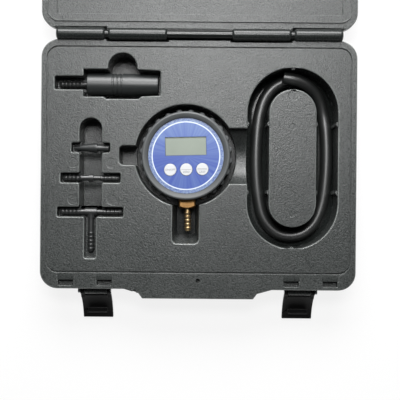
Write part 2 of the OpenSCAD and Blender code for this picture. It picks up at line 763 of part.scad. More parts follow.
// A headed pin, with its head on the side away from the middle
module latch_pin(side) color(steel_tone) translate([side * latch_x, latch_pin_y, latch_pin_z])
    mirror([side < 0 ? 1 : 0, 0, 0]) {
        bar_x(-latch_w / 2, latch_w / 2 + seat + fit, latch_pin_r);
        bar_x(latch_w / 2 + seat, latch_w / 2 + seat + latch_head_t, latch_head_r);
    }

// Gauge, drawn face up with its back at height 0 and its port towards -Y

module in_gauge() translate([gauge_x, gauge_y, gauge_floor]) rotate([0, 0, gauge_turn]) children();

module at_port() translate([0, 0, stem_z]) children();

module at_bosses() for (a = boss_angles) rotate([0, 0, a]) translate([boss_ring, 0, 0]) children();

module gauge_boot() color([0.22, 0.23, 0.23]) in_gauge() difference() {
    union() {
        rotate_extrude() polygon(concat([[boot_back_r, 0]], arc(gauge_r - 2, 2, 2, -90, 0),
            arc(gauge_r - boot_edge_r, gauge_t - boot_edge_r, boot_edge_r, 0, 90 + boot_slope),
            arc(lip_r + 0.5, boot_lip_z - 0.5, 0.5, 90 + boot_slope, 180, 3),
            [[lip_r, boot_lip_under], [boot_in_r, boot_lip_under], [boot_in_r, boot_back_t],
            [boot_back_r, boot_back_t]]));
        difference() {
            for (i = [0 : lug_n - 1]) rotate([0, 0, (i + 0.5) * 360 / lug_n])
                translate([gauge_r + lug_out - lug_r_own, 0, lug_low])
                    cylinder(h = lug_high - lug_low, r = lug_r_own);
            cylinder(h = gauge_t, r = gauge_r - boot_wall / 2);
        }
    }
    at_port() bar_front(boot_back_r - 6, gauge_r + lug_out + over, boot_port_r);
}

module gauge_housing() color([0.12, 0.12, 0.13]) in_gauge() difference() {
    union() {
        difference() {
            translate([0, 0, housing_low]) cylinder(h = plate_low - housing_low, r = housing_r);
            translate([0, 0, housing_low + housing_back_t]) cylinder(h = gauge_t, r = housing_in_r);
        }
        at_bosses() translate([0, 0, housing_low + 0.5])
            cylinder(h = board_low - housing_low - 0.5, r = boss_r);
        at_port() bar_front(sensor_out + 0.2, port_face, port_boss_r);
        translate([-bay_w / 2 - bay_wall, bay_y - bay_d / 2 - bay_wall, housing_low + 1])
            cube([bay_w + 2 * bay_wall, bay_d + 2 * bay_wall, bay_h + bay_wall - 1]);
        translate([0, cover_screw_y, housing_low + 1])
            cylinder(h = housing_back_t + cover_boss_h - 1, r = cover_boss_r);
    }
    at_bosses() {
        cylinder(h = gauge_t, r = screw_hole_r);
        translate([0, 0, -over]) cylinder(h = housing_low + screw_head_t + fit + over, r = screw_pocket_r);
    }
    at_port() bar_front(sensor_in, port_face + over, port_hole_r);
    translate([-bay_w / 2, bay_y - bay_d / 2, -over]) cube([bay_w, bay_d, housing_low + bay_h + over]);
    translate([0, 0, -over]) linear_extrude(housing_low + cover_t + fit + over) cover_outline(fit);
    translate([0, cover_screw_y, 0]) cylinder(h = housing_low + cover_t + 5, r = cover_screw_r + 0.05);
}

module cover_outline(grow) {
    lip = cover_lip + grow;
    translate([0, bay_y]) square([bay_w + 2 * lip, bay_d + 2 * lip], center = true);
    translate([0, cover_tab_in - cover_tab_d / 2 + 1])
        square([cover_tab_w + 2 * grow, cover_tab_d + 2 + 2 * grow], center = true);
}

module battery_cover() color([0.10, 0.10, 0.11]) in_gauge() translate([0, 0, housing_low]) difference() {
    linear_extrude(cover_t) cover_outline(-fit);
    translate([0, cover_screw_y, -over]) cylinder(h = cover_t + 2 * over, r = cover_screw_r + 0.15);
    for (i = [-2 : 2]) translate([i * 4, bay_y, 0]) cube([1.6, 9, 1], center = true);
}

module cover_screw() color(steel_tone) in_gauge()
    translate([0, cover_screw_y, housing_low - cover_head_t - fit]) difference() {
        union() {
            cylinder(h = cover_head_t, r = cover_head_r);
            cylinder(h = cover_t + 5, r = cover_screw_r);
        }
        cross_recess(2.2, 0.7);
    }

module cross_recess(w, t) for (a = [0, 90]) rotate([0, 0, a]) cube([w, 0.6, 2 * t], center = true);

module housing_screws() color(steel_tone) in_gauge() at_bosses() translate([0, 0, housing_low]) difference() {
    union() {
        cylinder(h = screw_head_t, r = screw_head_r);
        cylinder(h = plate_low - housing_low - 0.6, r = screw_r);
    }
    cross_recess(2.6, 0.9);
}

module face_plate() color([0.14, 0.14, 0.15]) in_gauge() difference() {
    union() {
        translate([0, 0, plate_low]) cylinder(h = plate_t, r = housing_r);
        at_bosses() translate([0, 0, board_high]) cylinder(h = plate_low - board_high + 0.5, r = boss_r);
    }
    at_bosses() cylinder(h = plate_low, r = screw_hole_r);
    face_openings(plate_low - over, plate_t + 2 * over);
}

module face_openings(z, h) translate([0, 0, z]) {
    translate([0, lcd_up, h / 2]) cube([lcd_w + 2 * lcd_play, lcd_h + 2 * lcd_play, h], center = true);
    at_keys() cylinder(h = h, r = key_hole_r);
}

module at_keys() for (i = [-1 : 1]) translate([i * key_pitch, -key_down, 0]) children();

module face_label() color([0.20, 0.31, 0.72]) in_gauge() difference() {
    translate([0, 0, plate_high]) cylinder(h = label_t, r = face_r);
    face_openings(plate_high - over, label_t + 2 * over);
}

module lcd_window() color([0.66, 0.70, 0.64]) in_gauge()
    translate([-lcd_w / 2, lcd_up - lcd_h / 2, plate_low + fit])
        cube([lcd_w, lcd_h, label_high - plate_low - fit - lcd_recess]);

module lcd_module() color([0.45, 0.48, 0.44]) in_gauge()
    translate([-lcd_w / 2 - lcd_frame, lcd_up - lcd_h / 2 - lcd_frame, board_high])
        cube([lcd_w + 2 * lcd_frame, lcd_h + 2 * lcd_frame, plate_low - board_high - fit]);

module key(place) color([0.93, 0.93, 0.93]) in_gauge() translate([place * key_pitch, -key_down, 0]) {
    translate([0, 0, plate_low - fit - key_flange_t]) cylinder(h = key_flange_t, r = key_flange_r);
    translate([0, 0, plate_low - fit - key_flange_t])
        cylinder(h = label_high + key_proud - plate_low + fit + key_flange_t, r = key_r);
}

module key_switches() color([0.16, 0.16, 0.17]) in_gauge() translate([0, 0, board_high]) at_keys() {
    translate([-switch_w / 2, -switch_w / 2, 0]) cube([switch_w, switch_w, switch_t]);
    cylinder(h = switch_t + switch_tip_t, r = switch_tip_r);
}

module circuit_board() color([0.06, 0.28, 0.14]) in_gauge() difference() {
    translate([0, 0, board_low]) cylinder(h = board_t, r = board_r);
    at_bosses() cylinder(h = gauge_t, r = screw_hole_r + 0.2);
    translate([-sensor_r - seat, -housing_r, 0])
        cube([2 * (sensor_r + seat), housing_r - sensor_in + seat, gauge_t]);
}

module pressure_sensor() color(steel_tone) in_gauge() at_port() difference() {
    bar_front(sensor_in, sensor_out, sensor_r);
    bar_front(sensor_bore_in, sensor_out + over, sensor_bore_r);
    bar_front(sensor_bore_in - 4, sensor_out, barb_bore_r);
}

module sensor_seal() color(moulded_black) in_gauge() at_port()
    translate([0, -(spigot_in - seal_play - seal_wire_r), 0]) rotate([90, 0, 0])
        rotate_extrude() translate([seal_ring_r, 0]) circle(seal_wire_r, $fn = 24);

module sensor_ribbon() color([0.72, 0.50, 0.22]) in_gauge() {
    start = -sensor_in + fit / 2;
    top = board_low - fit / 2;
    translate([-ribbon_w / 2, 0, 0]) rotate([90, 0, 90]) linear_extrude(ribbon_w)
        polygon([[start, stem_z], [start + ribbon_out, stem_z], [start + ribbon_out, top],
            [start + ribbon_out - ribbon_t, top], [start + ribbon_out - ribbon_t, stem_z + ribbon_t],
            [start, stem_z + ribbon_t]]);
}

module brass_stem() color(brass_tone) in_gauge() at_port() difference() {
    union() {
        bar_front(spigot_in, flats_in + over, spigot_r);
        intersection() {
            translate([0, -(flats_in + flats_out) / 2, 0]) cube([flats_w, flats_len, flats_w], center = true);
            union() {
                bar_front(flats_in - over, flats_out - 1.8, flats_bar_r);
                bar_front(flats_out - 1.8, flats_out + over, flats_bar_r, flats_bar_r - 4.6);
            }
        }
        translate([0, -stem_tip, 0]) rotate([-90, 0, 0]) barbed_tube(stem_len + over);
    }
    bar_front(spigot_in - over, stem_tip + over, barb_bore_r);
}

module stem_washer() color([0.55, 0.30, 0.18]) in_gauge() at_port() difference() {
    bar_front(washer_in, washer_in + washer_t, washer_r);
    bar_front(washer_in - over, washer_in + washer_t + over, spigot_r + fit);
}

module battery_cells() color([0.30, 0.30, 0.32]) in_gauge()
    for (s = [-1, 1]) translate([0, bay_y + s * cell_pitch / 2, housing_low + cover_t + seat + cell_r])
        bar_x(-cell_len / 2, cell_len / 2, cell_r);

module battery_contacts() color(steel_tone) in_gauge()
    for (s = [0, 1]) mirror([s, 0, 0]) translate([-bay_w / 2 + 0.05, bay_y, housing_low + cover_t + seat]) {
        translate([0, -contact_w / 2, 1]) cube([contact_t, contact_w, contact_h]);
        for (c = [-1, 1]) translate([0, c * cell_pitch / 2, cell_r])
            bar_x(contact_t / 2, (bay_w - cell_len) / 2 - 0.1, 1.6);
    }

// Hose: one tube swept along its route, with its bore

function lerp_point(p, i, u) = let (a = p[max(i - 1, 0)], b = p[i], c = p[i + 1],
    d = p[min(i + 2, len(p) - 1)])
    0.5 * (2 * b + (c - a) * u + (2 * a - 5 * b + 4 * c - d) * u * u + (3 * b - a - 3 * c + d) * u * u * u);

function smooth_route(p, steps) = concat(
    [for (i = [0 : len(p) - 2], s = [0 : steps - 1]) lerp_point(p, i, s / steps)], [p[len(p) - 1]]);

function unit(v) = v / norm(v);

function tube_ring(p, i, r, sides) = let (
    ahead = unit(p[min(i + 1, len(p) - 1)] - p[max(i - 1, 0)]),
    across = unit(cross(ahead, [0, 0, 1])), up = cross(across, ahead))
    [for (k = [0 : sides - 1]) p[i] + r * (cos(360 * k / sides) * across + sin(360 * k / sides) * up)];

hose_line = smooth_route(hose_route, hose_steps);
hose_rings = len(hose_line);

function route_length(p) =
    [for (i = [0 : len(p) - 2]) norm(p[i + 1] - p[i])] * [for (i = [0 : len(p) - 2]) 1];

// Least gap of the hose to itself, between points that are more than four diameters apart along it
function self_gap(p, d) = min([for (i = [0 : len(p) - 1], j = [i + 1 : 1 : len(p) - 1])
    if ((j - i) * route_length(p) / len(p) > 4 * d) norm(p[j] - p[i])]) - d;

module fuel_hose() color(moulded_black) {
    echo(hose_length = route_length(hose_line), hose_least_gap = self_gap(hose_line, hose_d));
    n = hose_sides;
    last = hose_rings - 1;
    inner = hose_rings * n;
    points = concat(
        [for (i = [0 : last]) each tube_ring(hose_line, i, hose_d / 2, n)],
        [for (i = [0 : last]) each tube_ring(hose_line, i, hose_bore / 2, n)]);
    walls = [for (i = [0 : last - 1], k = [0 : n - 1]) let (a = i * n + k, b = i * n + (k + 1) % n)
        each [[a, b, b + n], [a, b + n, a + n],
            [inner + a, inner + b + n, inner + b], [inner + a, inner + a + n, inner + b + n]]];
    ends = [for (k = [0 : n - 1]) let (a = k, b = (k + 1) % n, c = last * n + k, d = last * n + (k + 1) % n)
        each [[a, inner + b, b], [a, inner + a, inner + b], [c, d, inner + d], [c, inner + d, inner + c]]];
    polyhedron(points, concat(walls, ends), convexity = 6);
}

// Coupler, drawn along +X from the shoulder of its stem

module in_coupler() translate([coupler_x, coupler_y, coupler_z]) children();

module coupler_body() color(moulded_black) in_coupler() difference() {
    turned_x() polygon(concat([[0, 0]], arc(coupler_r - 0.8, 0.8, 0.8, -90, 0, 3),
        [[coupler_r, coupler_len * 0.6]], arc(coupler_end_r - 0.6, coupler_len - 0.6, 0.6, 0, 90, 3),
        [[0, coupler_len]]));
    for (g = groove_places) turned_x() translate([coupler_r - grip_groove_h, g - grip_groove_w / 2])
        square([2, grip_groove_w]);
    bar_x(-over, coupler_plug_len + fit, coupler_stem_r + fit / 2);
    bar_x(coupler_plug_len, coupler_len - coupler_seal_len, barb_bore_r);
    bar_x(coupler_len - coupler_seal_len - fit, coupler_len + over, coupler_bore_r);
}

module coupler_stem() color(moulded_black) in_coupler() difference() {
    union() {
        translate([-coupler_stem_len, 0, 0]) rotate([0, 90, 0])
            barbed_tube(coupler_stem_len + over, barb_n + 1);
        difference() {
            bar_x(0, coupler_plug_len, coupler_stem_r);
            translate([coupler_plug_len - 4, 0, 0]) turned_x()
                translate([o_ring_groove_r, -o_ring_wire_r - fit])
                    square([3, 2 * (o_ring_wire_r + fit)]);
        }
    }
    bar_x(-coupler_stem_len - over, coupler_plug_len + over, barb_bore_r);
}

module coupler_o_ring() color([0.16, 0.15, 0.15]) in_coupler() translate([coupler_plug_len - 4, 0, 0])
    turned_x() translate([o_ring_r, 0]) circle(o_ring_wire_r, $fn = 24);

module coupler_seal() color([0.14, 0.13, 0.13]) in_coupler()
    translate([coupler_len - coupler_seal_len, 0, 0]) difference() {
        bar_x(0, coupler_seal_len, coupler_bore_r - 0.05);
        bar_x(-over, coupler_seal_len + over, port_r);
    }

// Adaptors that lie across the finger channel

module in_column(y) translate([column_x, y, adaptor_z]) children();

module taper_adaptor() color(moulded_black)
    in_column(taper_y) translate([-taper_len / 2, 0, 0]) difference() {
        flange_in = taper_len - taper_spigot_len - taper_flange_t;
        turned_x() polygon(concat([[0, 0], [taper_tip_r - 0.3, 0], [taper_tip_r, 0.4],
            [taper_flange_r, flange_in], [taper_flange_r, flange_in + taper_flange_t],
            [taper_spigot_r, flange_in + taper_flange_t]],
            arc(taper_spigot_r - taper_end_r, taper_len - taper_end_r, taper_end_r, 0, 90),
            [[0, taper_len]]));
        bar_x(-over, taper_len + over, taper_tip_r - 0.7);
    }

module straight_connector() color(moulded_black) in_column(straight_y) difference() {
    union() {
        barbed_run(straight_len);
        bar_x(-straight_collar_w / 2, straight_collar_w / 2, straight_collar_r);
    }
    bar_x(-straight_len, straight_len, barb_bore_r);
}

module tee_connector() color(moulded_black) in_column(tee_y) difference() {
    union() {
        barbed_run(tee_len);
        translate([0, -tee_leg, 0]) rotate([-90, 0, 0]) barbed_tube(tee_leg);
        bar_x(-tee_joint_len, tee_joint_len, tee_joint_r);
        bar_front(0, tee_joint_len, tee_joint_r - tee_leg_step);
    }
    bar_x(-tee_len, tee_len, barb_bore_r);
    bar_front(0, tee_leg + over, barb_bore_r - tee_leg_step);
}

case_base();
case_lid();
hinge_pin();
latch(-1);  // left_latch
latch(1);  // right_latch
latch_pin(-1);  // left_latch_pin
latch_pin(1);  // right_latch_pin
gauge_boot();
gauge_housing();
face_plate();
face_label();
lcd_window();
lcd_module();
key(-1);  // key_power
key(0);  // key_zero
key(1);  // key_unit
key_switches();
circuit_board();
pressure_sensor();
sensor_ribbon();
sensor_seal();
brass_stem();
stem_washer();
battery_cells();
battery_contacts();
battery_cover();
cover_screw();
housing_screws();
fuel_hose();
coupler_body();
coupler_stem();
coupler_o_ring();
coupler_seal();
taper_adaptor();
straight_connector();
tee_connector();
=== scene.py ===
import json
import math
import bmesh
import bpy
from mathutils import Matrix, Vector


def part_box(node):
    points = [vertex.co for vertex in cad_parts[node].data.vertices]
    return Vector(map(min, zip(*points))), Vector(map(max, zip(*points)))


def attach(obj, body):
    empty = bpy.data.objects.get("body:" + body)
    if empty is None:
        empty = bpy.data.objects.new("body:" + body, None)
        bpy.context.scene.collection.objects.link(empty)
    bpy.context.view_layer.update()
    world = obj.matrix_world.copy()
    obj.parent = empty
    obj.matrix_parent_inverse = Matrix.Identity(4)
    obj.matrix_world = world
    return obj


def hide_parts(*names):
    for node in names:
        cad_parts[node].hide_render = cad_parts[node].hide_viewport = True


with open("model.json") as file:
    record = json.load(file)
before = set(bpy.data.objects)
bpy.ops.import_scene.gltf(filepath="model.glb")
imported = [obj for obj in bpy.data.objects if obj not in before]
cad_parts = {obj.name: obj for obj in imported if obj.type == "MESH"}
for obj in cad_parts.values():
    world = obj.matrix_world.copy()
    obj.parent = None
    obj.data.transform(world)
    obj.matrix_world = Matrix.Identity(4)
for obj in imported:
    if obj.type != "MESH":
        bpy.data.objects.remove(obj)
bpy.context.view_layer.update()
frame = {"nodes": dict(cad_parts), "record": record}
scene = bpy.context.scene
scene.view_settings.view_transform = "Standard"

# Camera: straight above the open case, 0.70 m over its rim, turned by half a degree.
# It looks a little in front of the case's middle, so most of the lid lies outside the picture.
rim_z = 0.040
camera_over_rim = 0.700
half_view = 0.18016
camera_x = 0.0015
camera_y = -0.0317
camera_turn = 0.0085
camera_data = bpy.data.cameras.new("camera")
camera_data.angle = 2 * math.atan(half_view / camera_over_rim)
camera_data.clip_start = 0.01
camera = bpy.data.objects.new("camera", camera_data)
camera.location = (camera_x, camera_y, rim_z + camera_over_rim)
camera.rotation_euler = (0, 0, camera_turn)
scene.collection.objects.link(camera)
scene.camera = camera

# Fuel hose: extruded nitrile rubber, 11 mm across with a 6 mm bore, cut square at both ends.
# It lies loose in its groove in one loop, and its upper end rests over the lower one.
hose_route_mm = [
    (77, 81.5, 26.2), (85, 80, 26.2), (93, 78, 25), (101, 74, 22.6), (108, 68, 19.2), (113, 59, 16),
    (116, 48, 14), (118, 34.5, 14), (119, 18.5, 14), (119, 2, 14), (118, -15, 14), (116, -31, 14),
    (112, -45, 14), (106, -55, 14), (97, -62, 14), (86, -64.5, 14), (75, -62.5, 14), (65.5, -55, 14),
    (59.5, -45, 14), (56.5, -33, 14), (54.5, -18, 14), (53.5, -2, 14), (53.5, 15, 14),
    (54.5, 33.5, 14), (56.5, 48.5, 14), (60.5, 62, 14), (67.5, 72, 14), (76.5, 78, 14),
    (86.5, 81, 14)]
hose_route = [Vector(point) * 0.001 for point in hose_route_mm]
hose_d = 0.011
hose_bore = 0.006
hose_lip = 0.0005
hose_sides = 28
curve_steps = 6


def smooth_line(points, steps):
    """The even curve that passes through every point of a route."""
    line = []
    last = len(points) - 1
    for i in range(last):
        a = points[max(i - 1, 0)]
        b = points[i]
        c = points[i + 1]
        d = points[min(i + 2, last)]
        for s in range(steps):
            u = s / steps
            line.append(0.5 * (2 * b + (c - a) * u + (2 * a - 5 * b + 4 * c - d) * u ** 2
                               + (3 * b - a - 3 * c + d) * u ** 3))
    line.append(points[last].copy())
    return line


hose_line = smooth_line(hose_route, curve_steps)
hose_steps = [(b - a).length for a, b in zip(hose_line, hose_line[1:])]
last = len(hose_line) - 1
hose_ahead = []
for i in range(last + 1):
    before = hose_line[max(i - 1, 0)]
    after = hose_line[min(i + 1, last)]
    hose_ahead.append((after - before).normalized())

# Each ring is a station along the hose, a shift along it and a radius: out along the skin,
# round the cut end, back along the bore and round the first end.
skin_r = hose_d / 2
bore_r = hose_bore / 2
lip_bend = 0.3 * hose_lip
hose_rings = [(0, hose_lip, skin_r)]
hose_rings += [(i, 0, skin_r) for i in range(1, last)]
hose_rings += [(last, -hose_lip, skin_r), (last, -lip_bend, skin_r - lip_bend)]
hose_rings += [(last, 0, skin_r - hose_lip), (last, 0, bore_r + hose_lip)]
hose_rings += [(last, -lip_bend, bore_r + lip_bend), (last, -hose_lip, bore_r)]
hose_rings += [(i, 0, bore_r) for i in range(last - 1, 0, -1)]
hose_rings += [(0, hose_lip, bore_r), (0, lip_bend, bore_r + lip_bend)]
hose_rings += [(0, 0, bore_r + hose_lip), (0, 0, skin_r - hose_lip)]
hose_rings += [(0, lip_bend, skin_r - lip_bend)]

hose_mesh = bmesh.new()
hose_uv = hose_mesh.loops.layers.uv.new("along")
hose_rows = []
for station, shift, radius in hose_rings:
    ahead = hose_ahead[station]
    across = ahead.cross(Vector((0, 0, 1))).normalized()
    up = across.cross(ahead)
    middle = hose_line[station] + ahead * shift
    row = []
    for k in range(hose_sides):
        turn = 2 * math.pi * k / hose_sides - math.pi / 2
        outward = math.cos(turn) * across + math.sin(turn) * up
        row.append(hose_mesh.verts.new(middle + radius * outward))
    hose_rows.append((row, sum(hose_steps[:station]) + shift))
for j in range(len(hose_rows)):
    row, far = hose_rows[j]
    next_row, next_far = hose_rows[(j + 1) % len(hose_rows)]
    for k in range(hose_sides):
        n = (k + 1) % hose_sides
        face = hose_mesh.faces.new((row[k], row[n], next_row[n], next_row[k]))
        round_a = math.pi * hose_d * k / hose_sides
        round_b = math.pi * hose_d * (k + 1) / hose_sides
        places = ((round_a, far), (round_b, far), (round_b, next_far), (round_a, next_far))
        for loop, place in zip(face.loops, places):
            loop[hose_uv].uv = place
bmesh.ops.recalc_face_normals(hose_mesh, faces=hose_mesh.faces)


def linear(code):
    """Linear colour of an sRGB hex code."""
    parts = [int(code[i:i + 2], 16) / 255 for i in (1, 3, 5)]
    return [c / 12.92 if c <= 0.04045 else ((c + 0.055) / 1.055) ** 2.4 for c in parts] + [1]


def add_node(tree, kind, settings, inputs):
    """Adds a node, with settings by name and inputs that are values or other nodes' outputs.

    A Mix node has sockets of one name for each kind of value, so these go by number:
    2 and 3 take plain values and 6 and 7 take colours, which come out at 0 and 2.
    """
    made = tree.nodes.new(kind)
    for name, value in settings.items():
        setattr(made, name, value)
    for name, value in inputs.items():
        if isinstance(value, bpy.types.NodeSocket):
            tree.links.new(value, made.inputs[name])
        else:
            made.inputs[name].default_value = value
    return made


def new_finish(name, shader_inputs):
    """An empty material with its main shader, ready for the nodes of its pattern."""
    material = bpy.data.materials.new(name)
    material.use_nodes = True
    tree = material.node_tree
    tree.nodes.clear()
    shader = add_node(tree, "ShaderNodeBsdfPrincipled", {}, shader_inputs)
    add_node(tree, "ShaderNodeOutputMaterial", {}, {"Surface": shader.outputs[0]})
    return material, tree, shader


# Nitrile rubber, extruded: a soft black with long die lines and a little bloom on its skin.
# Die lines are about 0.5 mm apart, drawn at 0.9 mm so that they show.
die_line_wide_mm = 0.909
die_line_long_mm = 40
die_line_deep_mm = 0.04
bloom_wide_mm = 8.33
bloom_long_mm = 22.2
nitrile, tree, shader = new_finish("nitrile_rubber_hose", {"IOR": 1.85})
skin = add_node(tree, "ShaderNodeUVMap", {"uv_map": "along"}, {})
drawn = add_node(tree, "ShaderNodeMapping", {},
                 {"Vector": skin.outputs[0],
                  "Scale": (1000 / die_line_wide_mm, 1000 / die_line_long_mm, 1)})
lines = add_node(tree, "ShaderNodeTexNoise", {}, {"Vector": drawn.outputs[0], "Scale": 1, "Detail": 2})
patches = add_node(tree, "ShaderNodeMapping", {},
                   {"Vector": skin.outputs[0], "Scale": (1000 / bloom_wide_mm, 1000 / bloom_long_mm, 1)})
bloom = add_node(tree, "ShaderNodeTexNoise", {}, {"Vector": patches.outputs[0], "Scale": 1, "Detail": 4})
tone = add_node(tree, "ShaderNodeMix", {"data_type": "RGBA"},
                {"Factor": bloom.outputs[0], 6: linear("#121313"), 7: linear("#1f2120")})
tree.links.new(tone.outputs[2], shader.inputs["Base Color"])
gloss = add_node(tree, "ShaderNodeMapRange", {},
                 {"Value": bloom.outputs[0], "To Min": 0.34, "To Max": 0.44})
tree.links.new(gloss.outputs[0], shader.inputs["Roughness"])
ridges = add_node(tree, "ShaderNodeBump", {},
                  {"Height": lines.outputs[0], "Distance": die_line_deep_mm / 1000})
tree.links.new(ridges.outputs[0], shader.inputs["Normal"])


def place_piece(mesh, name, material, body, nodes):
    """Makes a finished mesh a piece that rides on a body and stands for CAD nodes."""
    data = bpy.data.meshes.new(name)
    mesh.to_mesh(data)
    mesh.free()
    data.materials.append(material)
    data.shade_smooth()
    data.set_sharp_from_angle(angle=math.radians(40))
    piece = bpy.data.objects.new(name, data)
    scene.collection.objects.link(piece)
    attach(piece, body)
    if nodes:
        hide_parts(*nodes)
    return piece


hose = place_piece(hose_mesh, "hose", nitrile, "hose", ["fuel_hose"])

# Case base: one blow-moulded half of the carrying case, closed all round, in dark grey polyethylene.
# The mould rounds the pockets' edges and leaves a fine grain; seal groove and slots are crisper.
pocket_round = 0.0012
corner_round = 0.0003
deep_wall = 0.008
rim_slack = 0.0005
rim_corners = 20
level = 0.99
nearly_level = 0.9
steep = 0.5
same_point = 2e-6
same_plane = math.radians(0.4)
sharp_angle = math.radians(42)
node_body = {}
for body, members in frame["record"]["behaviour"]["bodies"].items():
    for member in members:
        node_body[member] = body


def clean_copy(node):
    """A copy of a CAD node with its triangles joined into whole faces, with no pale edges marked yet."""
    mesh = bmesh.new()
    mesh.from_mesh(frame["nodes"][node].data)
    for layer in list(mesh.loops.layers.uv.values()):
        mesh.loops.layers.uv.remove(layer)
    bmesh.ops.remove_doubles(mesh, verts=mesh.verts, dist=same_point)
    bmesh.ops.dissolve_limit(mesh, angle_limit=same_plane, verts=mesh.verts, edges=mesh.edges)
    mesh.verts.layers.float.new("edge_wear_and_sheen")
    mesh.normal_update()
    return mesh


def round_edges(mesh, width, segments, chosen):
    """Rounds the chosen edges and marks the middle of the rounded strips to be paler, as from rubbing and
    as a painted highlight.
    """
    pale_edge_layer = mesh.verts.layers.float["edge_wear_and_sheen"]
    edges = [edge for edge in mesh.edges if len(edge.link_faces) == 2 and chosen(edge)]
    made = bmesh.ops.bevel(mesh, geom=edges, offset=width, offset_type="OFFSET", segments=segments,
                           profile=0.5, affect="EDGES", clamp_overlap=False, loop_slide=False)
    rounded = set(made["faces"])
    for vert in made["verts"]:
        if rounded.issuperset(vert.link_faces):
            vert[pale_edge_layer] = 1
    mesh.normal_update()


def deep_rim(edge):
    """True on the rim's edge over a deep wall, such as a pocket's."""
    if min(vert.co.z for vert in edge.verts) < rim_z - rim_slack:
        return False
    wall = min(edge.link_faces, key=lambda face: face.normal.z)
    flat = max(edge.link_faces, key=lambda face: face.normal.z)
    foot = min(vert.co.z for vert in wall.verts)
    return flat.normal.z > nearly_level and wall.normal.z < steep and foot < rim_z - deep_wall


def sharp_corner(edge):
    """True on any sharp edge that is not yet rounded."""
    return edge.calc_face_angle(0) > sharp_angle


def level_rim(mesh):
    """Makes the flat faces round a rim level again where the rounding has tilted them."""
    for face in mesh.faces:
        if face.normal.z > level and len(face.verts) > rim_corners:
            heights = sorted(vert.co.z for vert in face.verts)
            middle = heights[len(heights) // 2]
            for vert in face.verts:
                vert.co.z = middle
    mesh.normal_update()


def dress(node, material, rounds):
    """A copy of a CAD node with rounded edges and a finish, in the node's place."""
    mesh = clean_copy(node)
    for width, segments, chosen in rounds:
        round_edges(mesh, width, segments, chosen)
    level_rim(mesh)
    piece = place_piece(mesh, node + "_dressed", material, node_body[node], [node])
    shading = piece.modifiers.new("even_shading", "WEIGHTED_NORMAL")
    shading.keep_sharp = True
    return piece


def moulded(name, dark, pale, worn_and_sheen, grain_mm, depth_mm, rough, ior):
    """A moulded plastic or rubber: cloudy tone, a fine grain, and marked edges that are smoother and
    paler, from rubbing and as a painted highlight.
    """
    cloud_mm = 26.3
    cloud_share = 0.3
    grain_contrast = 2.2
    edge_polish = 0.16
    material, tree, shader = new_finish(name, {"IOR": ior})
    place = add_node(tree, "ShaderNodeTexCoord", {}, {})
    clouds = add_node(tree, "ShaderNodeTexNoise", {},
                      {"Vector": place.outputs["Object"], "Scale": 1000 / cloud_mm, "Detail": 3})
    grain = add_node(tree, "ShaderNodeTexNoise", {},
                     {"Vector": place.outputs["Object"], "Scale": 1000 / grain_mm, "Detail": 3,
                      "Roughness": 0.6})
    mottle = add_node(tree, "ShaderNodeMath", {"operation": "MULTIPLY_ADD", "use_clamp": True},
                      {0: grain.outputs[0], 1: grain_contrast, 2: (1 - grain_contrast) / 2})
    both = add_node(tree, "ShaderNodeMix", {"data_type": "FLOAT"},
                    {"Factor": cloud_share, 2: mottle.outputs[0], 3: clouds.outputs[0]})
    tone = add_node(tree, "ShaderNodeMix", {"data_type": "RGBA"},
                    {"Factor": both.outputs[0], 6: linear(dark), 7: linear(pale)})
    # Painted highlight: the marked edges take the paler colour, which stands partly for rubbing and
    # partly for light.
    edge = add_node(tree, "ShaderNodeAttribute", {"attribute_name": "edge_wear_and_sheen"}, {})
    rubbed_and_sheen = add_node(tree, "ShaderNodeMath", {"operation": "MULTIPLY"},
                      {0: edge.outputs["Fac"], 1: clouds.outputs[0]})
    colour = add_node(tree, "ShaderNodeMix", {"data_type": "RGBA"},
                      {"Factor": rubbed_and_sheen.outputs[0], 6: tone.outputs[2], 7: linear(worn_and_sheen)})
    tree.links.new(colour.outputs[2], shader.inputs["Base Color"])
    gloss = add_node(tree, "ShaderNodeMapRange", {},
                     {"Value": grain.outputs[0], "From Min": 0.3, "From Max": 0.7,
                      "To Min": rough[0], "To Max": rough[1]})
    polished = add_node(tree, "ShaderNodeMath", {"operation": "MULTIPLY_ADD"},
                        {0: edge.outputs["Fac"], 1: -edge_polish, 2: gloss.outputs[0]})
    tree.links.new(polished.outputs[0], shader.inputs["Roughness"])
    bumps = add_node(tree, "ShaderNodeBump", {},
                     {"Height": grain.outputs[0], "Distance": depth_mm / 1000})
    tree.links.new(bumps.outputs[0], shader.inputs["Normal"])
    return material


# Blow-moulded polyethylene: dark grey and satin. The mould's sandblasted grain, about 1 mm wide,
# breaks the light into a fine speckle. Rounded edges are paler, partly from rubbing and partly as a
# painted highlight along them.
polyethylene = moulded("blow_moulded_polyethylene", dark="#181b1a", pale="#4b4e4d", worn_and_sheen="#868a88",
                       grain_mm=1.2, depth_mm=0.3, rough=(0.23, 0.36), ior=1.52)
case_rounds = [(pocket_round, 4, deep_rim), (corner_round, 2, sharp_corner)]
case_base = dress("case_base", polyethylene, case_rounds)

# Case lid: the other blow-moulded half, folded back flat behind the hinge, rim up.
# It carries the sealing tongue, the tabs and the peg that meet the base's groove, slots and hole.
case_lid = dress("case_lid", polyethylene, case_rounds)

# Hinge knuckles: barrels moulded with both halves, where the mould is polished, so they have no grain.
# Polished polyethylene has a narrower highlight. Its darker colour is painted shade for the round
# barrels.
polished_shaded_polyethylene = moulded("polished_polyethylene_painted_shade", dark="#1a1d1c", pale="#292c2b", worn_and_sheen="#5a5e5c",
                              grain_mm=1.2, depth_mm=0.01, rough=(0.22, 0.32), ior=1.46)
knuckle_r = 0.0056
knuckle_slack = 0.0001
pin_low, pin_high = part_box("hinge_pin")
hinge_y = (pin_low[1] + pin_high[1]) / 2
hinge_z = (pin_low[2] + pin_high[2]) / 2
for half in (case_base, case_lid):
    half.data.materials.append(polished_shaded_polyethylene)
    for face in half.data.polygons:
        from_hinge = math.hypot(face.center.y - hinge_y, face.center.z - hinge_z)
        # Painted shade: the knuckles' faces take the darker polished copy of the plastic.
        if from_hinge < knuckle_r + knuckle_slack:
            face.material_index = 1
